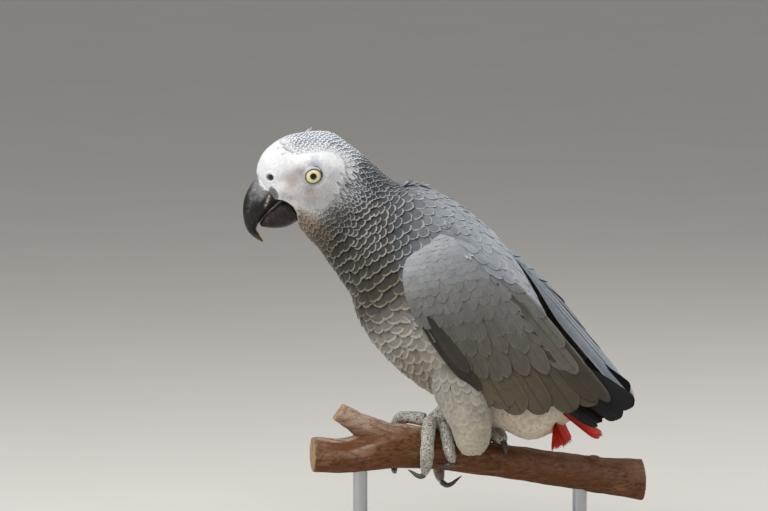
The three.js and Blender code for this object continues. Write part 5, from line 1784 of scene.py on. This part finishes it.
def bill_piece(name, stations, rings, around, node):
    """One half of the bill. Its marks lie at section numbers `at` and at angles `a` from the ridge."""
    last = len(stations) - 1
    s, turn = np.meshgrid(np.linspace(0, 1, rings), np.arange(around) * 360 / around, indexing="ij")
    place = bill_half(stations, s * last, turn)
    out = bill_half(stations, s * last, turn, 1.0) - place
    t, a = s.ravel(), np.abs((turn.ravel() + 180) % 360 - 180)
    at = last * t
    flat, out = place.reshape(-1, 3), out.reshape(-1, 3)
    thin = smooth(1.0, 0.9, t)
    lines = noise(np.column_stack([t * 60, a * 0.02, 0 * t]), 1.0, 4, 3)
    height = 0.10 * lines * thin + 0.10 * noise(flat, 1.6, 6, 3) * thin
    colour = np.tile(linear("#161517"), (len(flat), 1))
    waver = noise(flat, 2.4, 11, 3)
    fine = noise(flat, 0.7, 12, 2)
    if name == "upper_bill":
        ahead = at - np.interp(a, *np.transpose(CERE_EDGE)) + 0.12 * waver + 0.10 * fine
        lobe = np.exp(-((at - 1.05) / 0.62) ** 2 - ((a - 134) / 19) ** 2)
        rim = bell(a - 165, 9) * smooth(1.4, 2.2, at) * (1 - smooth(6.4, 7.4, at))
        line = bell(a - 104 - 11 * (at - 1.2) - 3 * waver, 4.5)
        line = line * smooth(1.0, 1.3, at) * (1 - smooth(2.3, 3.0, at))
        cere = 1 - smooth(-0.12, 0.10, ahead)
        height = height + 0.45 * lobe + 0.22 * rim + 0.25 * line + 0.3 * cere - 0.25 * bell(ahead, 0.12)
        mouth_lobe, mouth_line = corner_lobe(turned(flat, -1.0))
        colour = blend(
            colour, (0.8 * rim * (lines > -0.3), "#a3927c"), (0.85 * smooth(6.2, 7.6, at), "#5c452e"),
            (0.9 * line * smooth(-0.5, 0.2, fine), "#d9d3cd"), (cere, "#f1f2f3"), (mouth_line, "#17110e"),
            (mouth_lobe, "#5a4231"))
        powder = (1 - smooth(0.0, 1.9, ahead + 0.5 * waver)) * (1 - smooth(88, 108, a))
        dust_share = (1 - cere) * powder * 0.62 + 0.10 * smooth(0.2, 0.6, noise(flat, 3.0, 9, 3))
    else:
        edge_line = bell(a - 33, 4) * (1 - smooth(4.2, 5.0, at)) * smooth(0.5, 1.0, at)
        height = height + 0.3 * edge_line
        browner = 0.6 * smooth(60, 120, a) * smooth(-0.2, 0.5, waver)
        dark = np.full(len(t), 0.9)
        colour = blend(colour, (dark, "#20150c"), (browner, "#3a2818"), (edge_line, "#e2d3c2"))
        dust_share = 0.10 * smooth(0.3, 0.6, noise(flat, 2.6, 9, 3))
    rings_of = (flat + out * height[:, None]).reshape(rings, around, 3)
    piece = lofted(name, rings_of, "bill", bill_look, (node,))
    ends = [slice(0, around), slice(-around, None)]
    paint(piece, "dust", np.concatenate([dust_share, *(dust_share[e].mean(keepdims=True) for e in ends)]))
    paint(piece, "tint", np.concatenate([colour, *(colour[e].mean(0, keepdims=True) for e in ends)]))


bill_piece("upper_bill", UPPER_BILL, 150, 120, "bill_upper")
bill_piece("lower_bill", LOWER_BILL, 80, 96, "bill_lower")

# %% [markdown]
# ## Eyes
#
# Each eye is a ball with its pole pointing out sideways, so that a ring of points is a circle of the iris.
# The iris is a shallow bowl inside a clear cornea; here the cornea is the coat of the finish, and the pupil
# sits a little deeper. The iris has fine radial strands, a darker outer rim and a darker ring round the
# pupil. A thin closed ring round the opening makes the rim of the lids.

# %% Eyeballs
PUPIL, IRIS = 1.66, 4.9
EYE_AROUND, LID_AROUND, LID_SECTION = 96, 120, 12  # points round the ball, the lids and their rim's section
f = Recipe("eye_finish", Roughness=0.35, Coat_Weight=0.45, Coat_Roughness=0.06, Specular_IOR_Level=0.3)
reach = f.read("reach")
strands = f.read("strand")
colour = f.mix(strands, grey("#d9cf96"), grey("#f2ebc4"))
EYE_RINGS = [  # radius where a ring starts, radius where it is full, its strength and colour
    (PUPIL + 0.7, PUPIL + 0.1, 1.0, "#a89a63"), (3.2, 4.3, 0.8, "#b0a257"),
    (PUPIL + 0.12, PUPIL - 0.06, 1.0, "#040405"), (IRIS - 0.5, IRIS, 1.0, "#1b1714"),
]
for low, high, strength, tone in EYE_RINGS:
    colour = f.mix(f.range(reach, low, high, 0.0, strength), colour, grey(tone))
eye_look = f.done(colour)

f = Recipe("lid_finish", Specular_IOR_Level=0.35)
f.bump(f.noise(0.3, 4), 0.3, 0.08)
colour = f.mix(f.noise(0.8, 4), grey("#30261f"), grey("#5b4d43"))
lid_look = f.done(colour, f.range(f.noise(0.5), 0.3, 0.7, 0.45, 0.65))

for word, sign in SIDES.items():
    centre = turned(np.array([EYE["x"], sign * EYE["side"], EYE["z"]]))
    way = turned(np.array([EYE["x"], sign * (EYE["side"] + 1), EYE["z"]])) - centre
    up = np.array([0, 0, 1.0])
    fore = np.cross(up, way)
    fall = np.radians(np.concatenate([[0.4], np.linspace(2, 80, 79), np.linspace(84, 178, 24), [179.6]]))
    around = np.arange(EYE_AROUND) / EYE_AROUND * 2 * math.pi
    off = np.sin(fall)[:, None] * EYE["radius"]
    sunk = EYE["radius"] - 0.22 * smooth(IRIS + 0.3, 0.5, off)
    spoke = np.cos(around)[:, None] * fore + np.sin(around)[:, None] * up
    rings = centre + (np.cos(fall)[:, None] * sunk)[..., None] * way + off[..., None] * spoke
    ball = lofted(f"eyeball_{word}", rings, "eye", eye_look, (f"eye_{word}",))
    # The lid's rim: a thin closed ring that lies on the ball round the opening.
    oval = np.arange(LID_AROUND) / LID_AROUND * 2 * math.pi
    section = np.arange(LID_SECTION) / LID_SECTION * 2 * math.pi
    wide = EYE["opening"] + 0.16 + 0.24 * np.cos(section)
    long = wide / EYE_LONG * np.cos(oval)[:, None]
    high = wide / EYE_HIGH * np.sin(oval)[:, None]
    x = long * math.cos(EYE_TILT) - high * math.sin(EYE_TILT)
    z = long * math.sin(EYE_TILT) + high * math.cos(EYE_TILT)
    y = EYE["side"] + np.sqrt(EYE["radius"] ** 2 - x**2 - z**2) + 0.12 + 0.26 * np.sin(section)
    rim = turned(np.stack([EYE["x"] + x, sign * y, EYE["z"] + z], -1))
    points = rim.reshape(-1, 3)
    one = np.arange(LID_AROUND * LID_SECTION).reshape(LID_AROUND, LID_SECTION)
    beside, ahead = np.roll(one, -1, 1), np.roll(one, -1, 0)
    ring_faces = np.stack([one, beside, np.roll(beside, -1, 0), ahead], -1).reshape(-1, 4)
    mesh_piece(f"lid_rim_{word}", points, outward([ring_faces], points), "skin", lid_look)
    front = fall[:, None] < math.pi / 2
    strand = noise(np.stack([np.cos(around), np.sin(around), 0 * around], -1) * 10, 0.55, 5, 3) * 0.6 + 0.5
    reach_at = np.where(front, off, EYE["radius"] * 1.2) + np.zeros((1, EYE_AROUND))
    paint(ball, "reach", np.concatenate([reach_at.ravel(), [0, EYE["radius"] * 1.2]]))
    paint(ball, "strand", np.concatenate([np.tile(strand, len(fall)), [0.5, 0.5]]))

# %% [markdown]
# ## Display stand
#
# A model needs something to stand on: a flat round base with softened edges, and two steel rods under the
# branch. The base is a profile turned about its axis, as on a lathe.

# %% Base and rods
BASE = {"radius": 72.0, "thickness": 12.0, "chamfer": 1.5}
ROD = {"radius": 4.0, "places": (-62, 54)}

f = Recipe("stand_lacquer", Specular_IOR_Level=0.45)
fine = f.noise(0.7, 4)
colour = f.mix(f.range(f.noise(30, 3), 0.35, 0.65), grey("#d8d8d6"), grey("#dfdfdd"))
f.bump(fine, 0.06, 0.08)
stand_look = f.done(colour, f.range(fine, 0.3, 0.7, 0.42, 0.55))
f = Recipe("rod_steel", Metallic=0.9)
brushed = f.noise(0.5, 5, f.stretched((1, 1, 0.03)))
colour = f.mix(brushed, grey("#a9acaf"), grey("#c9ccce"))
f.bump(brushed, 0.12, 0.05)
rod_look = f.done(colour, f.range(brushed, 0.3, 0.7, 0.30, 0.42))


def turned_form(name, profile, around, at, slot, finish, replaces):
    """A profile of (radius, height) points turned about an upright axis over `at`, and closed there."""
    angle = np.arange(around) / around * 2 * math.pi
    radius, height = profile.T
    rings = np.stack([at[0] + radius[:, None] * np.cos(angle), at[1] + radius[:, None] * np.sin(angle),
                      height[:, None] + 0 * angle], -1)
    return lofted(name, rings, slot, finish, replaces)


def rounded_edge(x, z, reach, start, end, steps=9):
    """Points on the quarter circle of radius `reach` about (x, z) from angle `start` to `end`."""
    angle = np.radians(np.linspace(start, end, steps))
    return np.column_stack([x + reach * np.cos(angle), z + reach * np.sin(angle)])


edge = BASE["radius"] - BASE["chamfer"]
profile = np.concatenate([
    np.column_stack([np.linspace(1, edge - 1, 12), np.zeros(12)]),
    rounded_edge(edge, BASE["chamfer"], BASE["chamfer"], -90, 0),
    rounded_edge(edge, BASE["thickness"] - BASE["chamfer"], BASE["chamfer"], 0, 90),
    np.column_stack([np.linspace(edge - 1, 1, 12), np.full(12, BASE["thickness"])]),
])
turned_form("stand_disc", profile, 160, (0, 0), "stand", stand_look, ("stand_base",))
for i, x in enumerate(ROD["places"]):
    centre, thick = perch_at(np.array(x / PERCH_RUN[0]))
    top = centre[2] - 0.75 * thick
    lower_rim = rounded_edge(ROD["radius"] - 0.4, BASE["thickness"] + 0.75, 0.4, -90, 0, 5)
    side = np.column_stack([np.full(30, ROD["radius"]), np.linspace(BASE["thickness"] + 1.2, top, 30)])
    turned_form(f"stand_pin_{i + 1}", np.concatenate([lower_rim, side]), 48, centre[:2], "rod", rod_look,
                (f"stand_rod_{i + 1}",))
